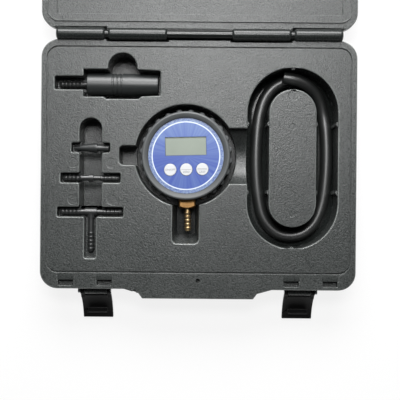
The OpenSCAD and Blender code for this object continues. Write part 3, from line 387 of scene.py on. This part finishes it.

# Deep floors under the gauge, its stem and the hose take the knuckles' smooth finish, without grain.
# Its darker colour is painted shade, so that these floors look nearly black, as in the shade of their
# walls.
deep_floor_z = 0.009
groove_foot_z = 0.016
groove_foot_slope = 0.02
groove_left = min(point.x for point in hose_route) - hose_d
groove_right = max(point.x for point in hose_route) + hose_d
coupler_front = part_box("coupler_body")[0][1]
for face in case_base.data.polygons:
    before_coupler = face.center.y < coupler_front
    flat_floor = before_coupler and face.normal.z > level and face.center.z < deep_floor_z
    beside_hose = groove_left < face.center.x < groove_right
    groove_foot = beside_hose and face.normal.z > groove_foot_slope and face.center.z < groove_foot_z
    # Painted shade: these floors take the darker polished copy of the plastic.
    if flat_floor or groove_foot:
        face.material_index = 1

# Hinge rod: a plain moulded rod through the knuckles of both halves, bare in the middle.
# Moulded nylon is nearly black and smooth, so it shows one sharp bright line.
nylon_rod = moulded("nylon_hinge_rod", dark="#121413", pale="#1c1e1d", worn_and_sheen="#343635",
                    grain_mm=0.8, depth_mm=0.01, rough=(0.18, 0.28), ior=1.48)
rod_round = 0.0004
dress("hinge_pin", nylon_rod, [(rod_round, 2, sharp_corner)])

# Latches: black polypropylene levers, bowed outwards, that hook over the lid's flange.
# Each turns on a plated steel pin pressed into the base's lug.
# Moulded polypropylene: nearly black and dull, so the levers show hardly any highlight.
polypropylene = moulded("polypropylene_latch", dark="#040404", pale="#080808", worn_and_sheen="#101010",
                        grain_mm=0.7, depth_mm=0.015, rough=(0.6, 0.72), ior=1.36)
latch_round = 0.0005
for node in ("left_latch", "right_latch"):
    dress(node, polypropylene, [(latch_round, 3, sharp_corner)])


def metal(name, colour, stain, rough, line_mm, across):
    """A turned or drawn metal: fine tool lines across one axis and a cloudy tarnish.

    A wave texture repeats every 314 mm at a scale of 1.
    """
    plain_wave_mm = 314
    line_deep_mm = 0.006
    tarnish_mm = 4.545
    material, tree, shader = new_finish(name, {"Metallic": 1})
    place = add_node(tree, "ShaderNodeTexCoord", {}, {})
    lines = add_node(tree, "ShaderNodeTexWave", {"bands_direction": across},
                     {"Vector": place.outputs["Object"], "Scale": plain_wave_mm / line_mm,
                      "Distortion": 1.5, "Detail": 2})
    clouds = add_node(tree, "ShaderNodeTexNoise", {},
                      {"Vector": place.outputs["Object"], "Scale": 1000 / tarnish_mm, "Detail": 4})
    tone = add_node(tree, "ShaderNodeMix", {"data_type": "RGBA"},
                    {"Factor": clouds.outputs[0], 6: linear(colour), 7: linear(stain)})
    tree.links.new(tone.outputs[2], shader.inputs["Base Color"])
    gloss = add_node(tree, "ShaderNodeMapRange", {},
                     {"Value": clouds.outputs[0], "To Min": rough[0], "To Max": rough[1]})
    tree.links.new(gloss.outputs[0], shader.inputs["Roughness"])
    grooves = add_node(tree, "ShaderNodeBump", {},
                       {"Height": lines.outputs[0], "Distance": line_deep_mm / 1000})
    tree.links.new(grooves.outputs[0], shader.inputs["Normal"])
    return material


# Zinc-plated steel: bright grey with faint drawing lines, drawn 0.4 mm apart so that they show.
plated_steel = metal("zinc_plated_steel", colour="#b9bcbf", stain="#8f9396", rough=(0.22, 0.42),
                     line_mm=0.4, across="X")
pin_round = 0.0002
for node in ("left_latch_pin", "right_latch_pin"):
    dress(node, plated_steel, [(pin_round, 2, sharp_corner)])

# Gauge boot: a soft grey rubber cover, stretched over the housing and open behind for the battery cover.
# Its lip holds the face plate down, and the brass stem comes out through a hole in its side.
# Soft rubber: mid grey and dull. Its rim is smoother and paler, partly from rubbing and partly as a
# painted highlight.
boot_rubber = moulded("soft_boot_rubber", dark="#363839", pale="#444748", worn_and_sheen="#66696a",
                      grain_mm=0.9, depth_mm=0.03, rough=(0.46, 0.62), ior=1.50)
gauge_turn = math.radians(1.7)
gauge_middle = Vector((-0.0115, 0.0082, 0.007))
gauge_frame = Matrix.Translation(gauge_middle) @ Matrix.Rotation(gauge_turn, 4, "Z")
gauge_r = 0.040
stem_z = 0.017
boot_high = 0.034
boot_foot_round = 0.002
boot_top_round = 0.0017
boot_lip_r = 0.0343
boot_lip_round = 0.0005
boot_lip_under = 0.0313
boot_inner_r = 0.037
boot_back = 0.0031
boot_back_r = 0.0345
boot_wear_and_sheen = 0.7
boot_pale_rim_z = 0.0318
boot_pale_rim_r = 0.0375
boot_steps = 180
stem_hole_r = 0.0105
stem_hole_deep = 0.012
stem_hole_y = 0.0005 - gauge_r


def arc_points(x, z, radius, start, end, steps):
    """Points of an arc in the XZ plane, from start to end in degrees."""
    turns = [math.radians(start + (end - start) * i / steps) for i in range(steps + 1)]
    return [(x + radius * math.cos(turn), z + radius * math.sin(turn)) for turn in turns]


def as_object(mesh, name):
    """An object of its own for a mesh that still needs a modifier."""
    data = bpy.data.meshes.new(name)
    mesh.to_mesh(data)
    mesh.free()
    piece = bpy.data.objects.new(name, data)
    scene.collection.objects.link(piece)
    return piece


def settled(piece):
    """The plain mesh of an object with its modifiers done. The object goes."""
    graph = bpy.context.evaluated_depsgraph_get()
    data = bpy.data.meshes.new_from_object(piece.evaluated_get(graph))
    bpy.data.objects.remove(piece)
    mesh = bmesh.new()
    mesh.from_mesh(data)
    return mesh


boot_round_z = boot_high - boot_top_round
boot_outline = [(boot_back_r, 0)]
boot_outline += arc_points(gauge_r - boot_foot_round, boot_foot_round, boot_foot_round, -90, 0, 6)
boot_outline += arc_points(gauge_r - boot_top_round, boot_round_z, boot_top_round, 0, 110, 8)
boot_outline += arc_points(boot_lip_r + boot_lip_round, boot_round_z, boot_lip_round, 110, 180, 4)
boot_outline += [(boot_lip_r, boot_lip_under), (boot_inner_r, boot_lip_under)]
boot_outline += [(boot_inner_r, boot_back), (boot_back_r, boot_back)]
boot_mesh = bmesh.new()
boot_pale_rim_layer = boot_mesh.verts.layers.float.new("edge_wear_and_sheen")
boot_verts = [boot_mesh.verts.new((x, 0, z)) for x, z in boot_outline]
# Painted highlight: the rim's outer top edge is marked paler, partly for rubbing and partly for light.
for vert in boot_verts:
    vert[boot_pale_rim_layer] = boot_wear_and_sheen if vert.co.z > boot_pale_rim_z and vert.co.x > boot_pale_rim_r else 0
boot_edges = [boot_mesh.edges.new((boot_verts[i - 1], boot_verts[i])) for i in range(len(boot_verts))]
bmesh.ops.spin(boot_mesh, geom=boot_verts + boot_edges, axis=(0, 0, 1), cent=(0, 0, 0),
               angle=2 * math.pi, steps=boot_steps, use_merge=True)
bmesh.ops.remove_doubles(boot_mesh, verts=boot_mesh.verts, dist=1e-7)
bmesh.ops.recalc_face_normals(boot_mesh, faces=boot_mesh.faces)
hole_mesh = bmesh.new()
hole_frame = Matrix.Translation((0, stem_hole_y, stem_z)) @ Matrix.Rotation(math.pi / 2, 4, "X")
bmesh.ops.create_cone(hole_mesh, cap_ends=True, segments=64, radius1=stem_hole_r, radius2=stem_hole_r,
                      depth=stem_hole_deep, matrix=hole_frame)
boot_blank = as_object(boot_mesh, "boot_blank")
hole_blank = as_object(hole_mesh, "hole_blank")
hole_cut = boot_blank.modifiers.new("stem_hole", "BOOLEAN")
hole_cut.operation = "DIFFERENCE"
hole_cut.object = hole_blank
boot_mesh = settled(boot_blank)
bpy.data.objects.remove(hole_blank)
bmesh.ops.transform(boot_mesh, matrix=gauge_frame, verts=boot_mesh.verts)
place_piece(boot_mesh, "gauge_boot_dressed", boot_rubber, "gauge", ["gauge_boot"])

# Grip lugs: rounded pads on the boot's side, moulded with it, one on each step of a circle.
# None stands where the brass stem comes out.
lugs = 24
lug_r = 0.0032
lug_low = 0.004
lug_high = 0.027
lug_round = 0.0012
lug_proud = 0.0025
lug_glint_and_polish = 0.3
lug_pale_top_z = lug_high - lug_round - 0.0001
half_gap_at_stem = 0.009
lug_mesh = bmesh.new()
bmesh.ops.create_cone(lug_mesh, cap_ends=True, segments=32, radius1=lug_r, radius2=lug_r,
                      depth=lug_high - lug_low,
                      matrix=Matrix.Translation((0, 0, (lug_low + lug_high) / 2)))
lug_ends = [edge for edge in lug_mesh.edges if abs(edge.verts[0].co.z - edge.verts[1].co.z) < 1e-6]
bmesh.ops.bevel(lug_mesh, geom=lug_ends, offset=lug_round, segments=5, profile=0.5, affect="EDGES")
# Painted glint: the lugs' tops are marked paler and smoother, so that they show as glints at the boot's
# sides.
lug_pale_top_layer = lug_mesh.verts.layers.float.new("edge_wear_and_sheen")
for vert in lug_mesh.verts:
    vert[lug_pale_top_layer] = lug_glint_and_polish if vert.co.z > lug_pale_top_z else 0
lug_tree = bpy.data.node_groups.new("grip_lugs", "GeometryNodeTree")
lug_tree.is_modifier = True
lug_tree.interface.new_socket("Lug", in_out="INPUT", socket_type="NodeSocketGeometry")
lug_count = lug_tree.interface.new_socket("Count", in_out="INPUT", socket_type="NodeSocketInt")
lug_ring = lug_tree.interface.new_socket("Ring radius", in_out="INPUT", socket_type="NodeSocketFloat")
lug_gap = lug_tree.interface.new_socket("Half gap at stem", in_out="INPUT", socket_type="NodeSocketFloat")
lug_rubber = lug_tree.interface.new_socket("Rubber", in_out="INPUT", socket_type="NodeSocketMaterial")
lug_tree.interface.new_socket("Lugs", in_out="OUTPUT", socket_type="NodeSocketGeometry")
given = add_node(lug_tree, "NodeGroupInput", {}, {})
circle = add_node(lug_tree, "GeometryNodeMeshCircle", {},
                  {"Vertices": given.outputs["Count"], "Radius": given.outputs["Ring radius"]})
half_step = add_node(lug_tree, "ShaderNodeMath", {"operation": "DIVIDE"},
                     {0: math.pi, 1: given.outputs["Count"]})
turn = add_node(lug_tree, "FunctionNodeAxisAngleToRotation", {},
                {"Axis": (0, 0, 1), "Angle": half_step.outputs[0]})
turned = add_node(lug_tree, "GeometryNodeTransform", {},
                  {"Geometry": circle.outputs[0], "Rotation": turn.outputs[0]})
place = add_node(lug_tree, "GeometryNodeInputPosition", {}, {})
axes = add_node(lug_tree, "ShaderNodeSeparateXYZ", {}, {0: place.outputs[0]})
aside = add_node(lug_tree, "ShaderNodeMath", {"operation": "ABSOLUTE"}, {0: axes.outputs["X"]})
near = add_node(lug_tree, "FunctionNodeCompare", {"operation": "LESS_THAN"},
                {0: aside.outputs[0], 1: given.outputs["Half gap at stem"]})
front = add_node(lug_tree, "FunctionNodeCompare", {"operation": "LESS_THAN"},
                 {0: axes.outputs["Y"], 1: 0})
at_stem = add_node(lug_tree, "FunctionNodeBooleanMath", {"operation": "AND"},
                   {0: near.outputs[0], 1: front.outputs[0]})
kept = add_node(lug_tree, "GeometryNodeDeleteGeometry", {"domain": "POINT"},
                {"Geometry": turned.outputs[0], "Selection": at_stem.outputs[0]})
copies = add_node(lug_tree, "GeometryNodeInstanceOnPoints", {},
                  {"Points": kept.outputs[0], "Instance": given.outputs["Lug"]})
whole = add_node(lug_tree, "GeometryNodeRealizeInstances", {}, {"Geometry": copies.outputs[0]})
coloured = add_node(lug_tree, "GeometryNodeSetMaterial", {},
                    {"Geometry": whole.outputs[0], "Material": given.outputs["Rubber"]})
add_node(lug_tree, "NodeGroupOutput", {}, {"Lugs": coloured.outputs[0]})
lug_blank = as_object(lug_mesh, "lug_blank")
lug_row = lug_blank.modifiers.new("lug_row", "NODES")
lug_row.node_group = lug_tree
lug_row[lug_count.identifier] = lugs
lug_row[lug_ring.identifier] = gauge_r + lug_proud - lug_r
lug_row[lug_gap.identifier] = half_gap_at_stem
lug_row[lug_rubber.identifier] = boot_rubber
lug_mesh = settled(lug_blank)
bmesh.ops.transform(lug_mesh, matrix=gauge_frame, verts=lug_mesh.verts)
place_piece(lug_mesh, "boot_grip_lugs", boot_rubber, "gauge", [])

# Gauge housing, face plate and battery cover: moulded black ABS, screwed together from behind.
# The battery cover lies flush in the back and has finger ribs.
# Moulded ABS: black with an even, half-matt sheen, seen mostly at the gauge's back.
housing_abs = moulded("moulded_abs", dark="#1b1c1e", pale="#28292b", worn_and_sheen="#3a3b3d",
                      grain_mm=0.5, depth_mm=0.012, rough=(0.34, 0.46), ior=1.53)
for node in ("gauge_housing", "face_plate", "battery_cover"):
    dress(node, housing_abs, [])
for node in ("cover_screw", "housing_screws"):
    dress(node, plated_steel, [])

# Printed face: a polycarbonate film printed from behind in blue, glued onto the face plate.
# Fine pale rays run from the middle to a white ring, with a paler speckled band outside it.
# The film's skin is half matt, so the print keeps its colour under the lamps.
face_middle = (gauge_middle.x, gauge_middle.y, 0)
face_r = 0.0341
wide_ray_mm = 6.2
fine_ray_mm = 2.006
fine_ray_share = 0.45
ray_lift = 0.45
painted_top_sheen = 0.5
speckle_mm = 1.111
speckle_deep_mm = 0.012
ring_share = 0.895
ring_half_share = 0.014
band_share = 0.90
key_pitch = 0.0145
key_down = 0.0125
divider_half = 0.0002
divider_reach = 0.007
printed_film, tree, shader = new_finish("printed_polycarbonate_film",
                                        {"IOR": 1.52, "Roughness": 0.42, "Coat Weight": 0.05})
place = add_node(tree, "ShaderNodeTexCoord", {}, {})
centred = add_node(tree, "ShaderNodeMapping", {"vector_type": "TEXTURE"},
                   {"Vector": place.outputs["Object"], "Location": face_middle,
                    "Rotation": (0, 0, gauge_turn)})
axes = add_node(tree, "ShaderNodeSeparateXYZ", {}, {"Vector": centred.outputs[0]})
flat = add_node(tree, "ShaderNodeCombineXYZ", {}, {"X": axes.outputs["X"], "Y": axes.outputs["Y"]})
out = add_node(tree, "ShaderNodeVectorMath", {"operation": "LENGTH"}, {0: flat.outputs[0]})
reach = add_node(tree, "ShaderNodeMath", {"operation": "DIVIDE"}, {0: out.outputs["Value"], 1: face_r})
aim = add_node(tree, "ShaderNodeVectorMath", {"operation": "NORMALIZE"}, {0: flat.outputs[0]})
wide_rays = add_node(tree, "ShaderNodeTexNoise", {},
                     {"Vector": aim.outputs[0], "Scale": 1000 * face_r / wide_ray_mm, "Detail": 3,
                      "Roughness": 0.65})
fine_rays = add_node(tree, "ShaderNodeTexNoise", {},
                     {"Vector": aim.outputs[0], "Scale": 1000 * face_r / fine_ray_mm, "Detail": 2})
rays = add_node(tree, "ShaderNodeMix", {"data_type": "FLOAT"},
                {"Factor": fine_ray_share, 2: wide_rays.outputs[0], 3: fine_rays.outputs[0]})
streaks = add_node(tree, "ShaderNodeMapRange", {},
                   {"Value": rays.outputs[0], "From Min": 0.40, "From Max": 0.64})
# Painted highlight: the blue grows paler towards the top of the face, standing in for the lamps' sheen.
height = add_node(tree, "ShaderNodeMapRange", {},
                  {"Value": axes.outputs["Y"], "From Min": -0.1 * face_r, "From Max": face_r})
lift = add_node(tree, "ShaderNodeMath", {"operation": "MULTIPLY"}, {0: streaks.outputs[0], 1: ray_lift})
blend = add_node(tree, "ShaderNodeMath", {"operation": "MULTIPLY_ADD", "use_clamp": True},
                 {0: height.outputs[0], 1: painted_top_sheen, 2: lift.outputs[0]})
blue = add_node(tree, "ShaderNodeMix", {"data_type": "RGBA"},
                {"Factor": blend.outputs[0], 6: linear("#234193"), 7: linear("#627ca8")})
speckle = add_node(tree, "ShaderNodeTexNoise", {},
                   {"Vector": centred.outputs[0], "Scale": 1000 / speckle_mm, "Detail": 2})
speckled = add_node(tree, "ShaderNodeMapRange", {},
                    {"Value": speckle.outputs[0], "From Min": 0.35, "From Max": 0.65})
band = add_node(tree, "ShaderNodeMix", {"data_type": "RGBA"},
                {"Factor": speckled.outputs[0], 6: linear("#374e8c"), 7: linear("#7e90ab")})
outside = add_node(tree, "ShaderNodeMath", {"operation": "GREATER_THAN"},
                   {0: reach.outputs[0], 1: band_share})
ground = add_node(tree, "ShaderNodeMix", {"data_type": "RGBA"},
                  {"Factor": outside.outputs[0], 6: blue.outputs[2], 7: band.outputs[2]})
ring = add_node(tree, "ShaderNodeMath", {"operation": "COMPARE"},
                {0: reach.outputs[0], 1: ring_share, 2: ring_half_share})
ringed = add_node(tree, "ShaderNodeMix", {"data_type": "RGBA"},
                  {"Factor": ring.outputs[0], 6: ground.outputs[2], 7: linear("#c9d2e2")})
aside = add_node(tree, "ShaderNodeMath", {"operation": "ABSOLUTE"}, {0: axes.outputs["X"]})
divider = add_node(tree, "ShaderNodeMath", {"operation": "COMPARE"},
                   {0: aside.outputs[0], 1: key_pitch / 2, 2: divider_half})
beside_keys = add_node(tree, "ShaderNodeMath", {"operation": "COMPARE"},
                       {0: axes.outputs["Y"], 1: -key_down, 2: divider_reach})
divided = add_node(tree, "ShaderNodeMath", {"operation": "MULTIPLY"},
                   {0: divider.outputs[0], 1: beside_keys.outputs[0]})
print_tone = add_node(tree, "ShaderNodeMix", {"data_type": "RGBA"},
                      {"Factor": divided.outputs[0], 6: ringed.outputs[2], 7: linear("#3a4f9f")})
tree.links.new(print_tone.outputs[2], shader.inputs["Base Color"])
orange_peel = add_node(tree, "ShaderNodeBump", {},
                       {"Height": speckle.outputs[0], "Distance": speckle_deep_mm / 1000})
tree.links.new(orange_peel.outputs[0], shader.inputs["Normal"])
dress("face_label", printed_film, [])

# Display: a grey-green reflective crystal cell behind a clear window, set back from the face.
# It is switched off, so no figures show, only a faint haze under the window's gloss.
haze_mm = 16.67
fine_mm = 0.4
fine_share = 0.3
window_round = 0.0002
crystal_cell, tree, shader = new_finish("reflective_crystal_display",
                                        {"IOR": 1.50, "Roughness": 0.12, "Coat Weight": 0.4})
place = add_node(tree, "ShaderNodeTexCoord", {}, {})
haze = add_node(tree, "ShaderNodeTexNoise", {},
                {"Vector": place.outputs["Object"], "Scale": 1000 / haze_mm, "Detail": 2})
fine = add_node(tree, "ShaderNodeTexNoise", {},
                {"Vector": place.outputs["Object"], "Scale": 1000 / fine_mm, "Detail": 1})
mixed = add_node(tree, "ShaderNodeMix", {"data_type": "FLOAT"},
                 {"Factor": fine_share, 2: haze.outputs[0], 3: fine.outputs[0]})
tone = add_node(tree, "ShaderNodeMix", {"data_type": "RGBA"},
                {"Factor": mixed.outputs[0], 6: linear("#858d84"), 7: linear("#959d93")})
tree.links.new(tone.outputs[2], shader.inputs["Base Color"])
dress("lcd_window", crystal_cell, [(window_round, 2, sharp_corner)])

# Keys: three white moulded caps that stand a little proud of the face.
# Each carries a small grey mark, printed on its top.
# White ABS from a polished mould is smooth and half glossy. The pad ink is a dull mid grey.
key_abs = moulded("white_moulded_abs", dark="#bcbec0", pale="#c8cacc", worn_and_sheen="#d0d2d4",
                  grain_mm=0.4, depth_mm=0.004, rough=(0.30, 0.38), ior=1.50)
key_ink = moulded("grey_pad_ink", dark="#55555b", pale="#606066", worn_and_sheen="#606066",
                  grain_mm=0.3, depth_mm=0.002, rough=(0.5, 0.6), ior=1.5)
key_round = 0.0005
key_top = 0.032
letter_size = 0.0024
ink_line = 0.00025
ink_thick = 0.00004
for node in ("key_power", "key_zero", "key_unit"):
    dress(node, key_abs, [(key_round, 3, sharp_corner)])


def print_mark(body, column, words, lines):
    """Prints words (text and height) and lines (height and length) on a key's top."""
    mark = bmesh.new()
    for text, height in words:
        letters = bpy.data.curves.new("letters", "FONT")
        letters.body = text
        letters.size = letter_size
        letters.align_x = "CENTER"
        letters.align_y = "CENTER"
        letters.extrude = ink_thick / 2
        writing = bpy.data.objects.new("letters", letters)
        scene.collection.objects.link(writing)
        word = settled(writing)
        bmesh.ops.translate(word, verts=word.verts, vec=(0, height, 0))
        data = bpy.data.meshes.new("word")
        word.to_mesh(data)
        word.free()
        mark.from_mesh(data)
    for height, length in lines:
        bar = Matrix.Translation((0, height, 0)) @ Matrix.Diagonal((length, ink_line, ink_thick, 1))
        bmesh.ops.create_cube(mark, size=1, matrix=bar)
    key_place = (column * key_pitch, -key_down, key_top + ink_thick / 2)
    bmesh.ops.translate(mark, verts=mark.verts, vec=key_place)
    bmesh.ops.transform(mark, matrix=gauge_frame, verts=mark.verts)
    place_piece(mark, body + "_mark", key_ink, body, [])


print_mark("power_key", -1, [("ON/OFF", 0)], [])
print_mark("zero_key", 0, [("ZERO", -0.0022)], [(0, 0.0088)])
print_mark("unit_key", 1, [("UNIT", -0.0026)], [(0.0006, 0.0086), (-0.0006, 0.0086)])

# Brass stem: turned from square bar, so it keeps four wrench flats, with a hose barb in front.
# It is screwed into the housing over a fibre washer.
barb_r = 0.0034
stem_round = 0.00015

# Turned brass on the barb is pale gold, with tool lines drawn 0.6 mm apart so that they show.
# The flats keep the drawn bar's skin in a duller, browner brass. Pressed fibre is a dull red-brown.
# The two brasses are lit and shaded copies: the barb is painted paler as a highlight, the flats darker as
# shade.
turned_brass_painted_sheen = metal("turned_brass_painted_sheen", colour="#f0d3a3", stain="#dabb8b", rough=(0.30, 0.50),
                     line_mm=0.6, across="Y")
drawn_brass_painted_shade = metal("drawn_brass_bar_painted_shade", colour="#c59b67", stain="#ab8453", rough=(0.48, 0.68),
                    line_mm=0.6, across="X")
pressed_fibre = moulded("pressed_fibre", dark="#7c4526", pale="#93593a", worn_and_sheen="#a06a48",
                        grain_mm=0.4, depth_mm=0.02, rough=(0.6, 0.75), ior=1.5)
stem = dress("brass_stem", turned_brass_painted_sheen, [(stem_round, 2, sharp_corner)])
stem.data.materials.append(drawn_brass_painted_shade)
to_gauge = gauge_frame.inverted()
# Painted highlight and shade: the barb keeps the paler brass, and the flats take the darker, browner one.
for face in stem.data.polygons:
    middle = to_gauge @ face.center
    if math.hypot(middle.x, middle.z - stem_z) > barb_r:
        face.material_index = 1
dress("stem_washer", pressed_fibre, [])

# Coupler: a moulded nylon body with three grip grooves, a barbed stem and a rubber seal.
# The stem's plug is pressed into one end of the body, and the seal lines the open end.
# Moulded nylon is charcoal black: glossy on the barbs, satin on the body. The seal is dull black.
fitting_nylon = moulded("moulded_nylon", dark="#1e1f1f", pale="#2c2e2e", worn_and_sheen="#4a4c4c",
                        grain_mm=0.6, depth_mm=0.012, rough=(0.27, 0.39), ior=1.7)
body_nylon = moulded("satin_nylon", dark="#202222", pale="#2e3131", worn_and_sheen="#4a4c4c",
                     grain_mm=0.6, depth_mm=0.012, rough=(0.34, 0.46), ior=1.6)
seal_rubber = moulded("seal_rubber", dark="#101010", pale="#191919", worn_and_sheen="#242424",
                      grain_mm=0.5, depth_mm=0.02, rough=(0.5, 0.62), ior=1.52)
coupler_round = 0.0003
barb_round = 0.00012
dress("coupler_body", body_nylon, [(coupler_round, 2, sharp_corner)])
dress("coupler_stem", fitting_nylon, [(barb_round, 1, sharp_corner)])
dress("coupler_seal", seal_rubber, [(coupler_round, 2, sharp_corner)])

# Adaptors: a taper, a straight connector and a tee for hose ends, moulded in the coupler's nylons.
# They lie loose in their pockets. The taper has the satin skin, and the other two are glossier.
adaptor_nylon = {"taper_adaptor": body_nylon, "straight_connector": fitting_nylon,
                 "tee_connector": fitting_nylon}
for node, nylon in adaptor_nylon.items():
    dress(node, nylon, [(barb_round, 1, sharp_corner)])


# Inside the gauge and coupler: board, switches, display module, sensor, seals, cells and contacts.
# None of these shows from outside, so they keep their CAD shape.
def finish_inside(node, material):
    """Gives a CAD node that stays as it is a finish."""
    materials = frame["nodes"][node].data.materials
    materials.clear()
    materials.append(material)


# Glass-epoxy board is green under its lacquer and polyimide film is amber and glossy. The cells have
# glossy grey jackets, and the display's moulded frame is a half-matt grey-green.
board_laminate = moulded("glass_epoxy_board", dark="#134a2a", pale="#1b5c37", worn_and_sheen="#2a6a46",
                         grain_mm=0.5, depth_mm=0.006, rough=(0.3, 0.4), ior=1.55)
ribbon_film = moulded("polyimide_film", dark="#a8702f", pale="#bd8440", worn_and_sheen="#c89350",
                      grain_mm=0.6, depth_mm=0.004, rough=(0.2, 0.3), ior=1.7)
cell_jacket = moulded("printed_cell_jacket", dark="#44464a", pale="#54565a", worn_and_sheen="#6a6c70",
                      grain_mm=0.8, depth_mm=0.004, rough=(0.22, 0.3), ior=1.5)
display_frame = moulded("moulded_display_frame", dark="#6b7069", pale="#7a7f78", worn_and_sheen="#8a8f88",
                        grain_mm=0.5, depth_mm=0.01, rough=(0.4, 0.5), ior=1.5)
finish_inside("circuit_board", board_laminate)
finish_inside("key_switches", housing_abs)
finish_inside("lcd_module", display_frame)
finish_inside("pressure_sensor", plated_steel)
finish_inside("sensor_ribbon", ribbon_film)
finish_inside("sensor_seal", seal_rubber)
finish_inside("coupler_o_ring", seal_rubber)
finish_inside("battery_cells", cell_jacket)
finish_inside("battery_contacts", plated_steel)

# Floor: a wide sheet of white paper under the case, white to the camera, that keeps the shadow.
# Far out it rises like a studio's backdrop, so that low views show no dark room behind the case.
floor_reach = 24
floor_rise = 4
floor_gap = 0.0003
floor_white = 0.85
floor_mesh = bmesh.new()
bmesh.ops.create_grid(floor_mesh, x_segments=3, y_segments=3, size=floor_reach)
for vert in floor_mesh.verts:
    at_edge = max(abs(vert.co.x), abs(vert.co.y)) > floor_reach / 2
    vert.co.z = floor_rise if at_edge else -floor_gap
paper = bpy.data.materials.new("white_paper")
paper.use_nodes = True
tree = paper.node_tree
tree.nodes.clear()
matt = add_node(tree, "ShaderNodeBsdfDiffuse", {}, {"Color": linear("#f4f4f4")})
white = add_node(tree, "ShaderNodeEmission", {}, {"Strength": 1})
path = add_node(tree, "ShaderNodeLightPath", {}, {})
seen = add_node(tree, "ShaderNodeMath", {"operation": "MAXIMUM"},
                {0: path.outputs["Is Camera Ray"], 1: path.outputs["Is Glossy Ray"]})
seen_any = add_node(tree, "ShaderNodeMath", {"operation": "MAXIMUM"},
                    {0: seen.outputs[0], 1: path.outputs["Is Transmission Ray"]})
share = add_node(tree, "ShaderNodeMath", {"operation": "MULTIPLY"},
                 {0: seen_any.outputs[0], 1: floor_white})
sheet = add_node(tree, "ShaderNodeMixShader", {},
                 {0: share.outputs[0], 1: matt.outputs[0], 2: white.outputs[0]})
add_node(tree, "ShaderNodeOutputMaterial", {}, {"Surface": sheet.outputs[0]})
floor_data = bpy.data.meshes.new("floor")
floor_mesh.to_mesh(floor_data)
floor_mesh.free()
floor_data.materials.append(paper)
floor = bpy.data.objects.new("floor", floor_data)
scene.collection.objects.link(floor)

# Light: two lamps with soft covers in a dark room, as in a small photographer's studio.
# A bright strip hangs high over the hinge, and a large softbox leans in from behind the lid.
lamp_aim = Vector((0, 0, 0.03))
room_strength = 0.05


def add_softbox(name, wide, deep, energy, place):
    """A rectangular lamp that faces the open case."""
    lamp_data = bpy.data.lights.new(name, "AREA")
    lamp_data.shape = "RECTANGLE"
    lamp_data.size = wide
    lamp_data.size_y = deep
    lamp_data.energy = energy
    lamp = bpy.data.objects.new(name, lamp_data)
    lamp.location = place
    lamp.rotation_euler = (lamp_aim - lamp.location).to_track_quat("-Z", "Y").to_euler()
    scene.collection.objects.link(lamp)


add_softbox("high_strip", wide=0.36, deep=0.2, energy=5.0, place=(0, 0.26, 0.93))
add_softbox("low_softbox", wide=0.9, deep=0.55, energy=20.0, place=(0, 0.82, 0.70))
room = bpy.data.worlds.new("room")
room.use_nodes = True
background = room.node_tree.nodes["Background"]
background.inputs["Color"].default_value = linear("#ffffff")
background.inputs["Strength"].default_value = room_strength
scene.world = room
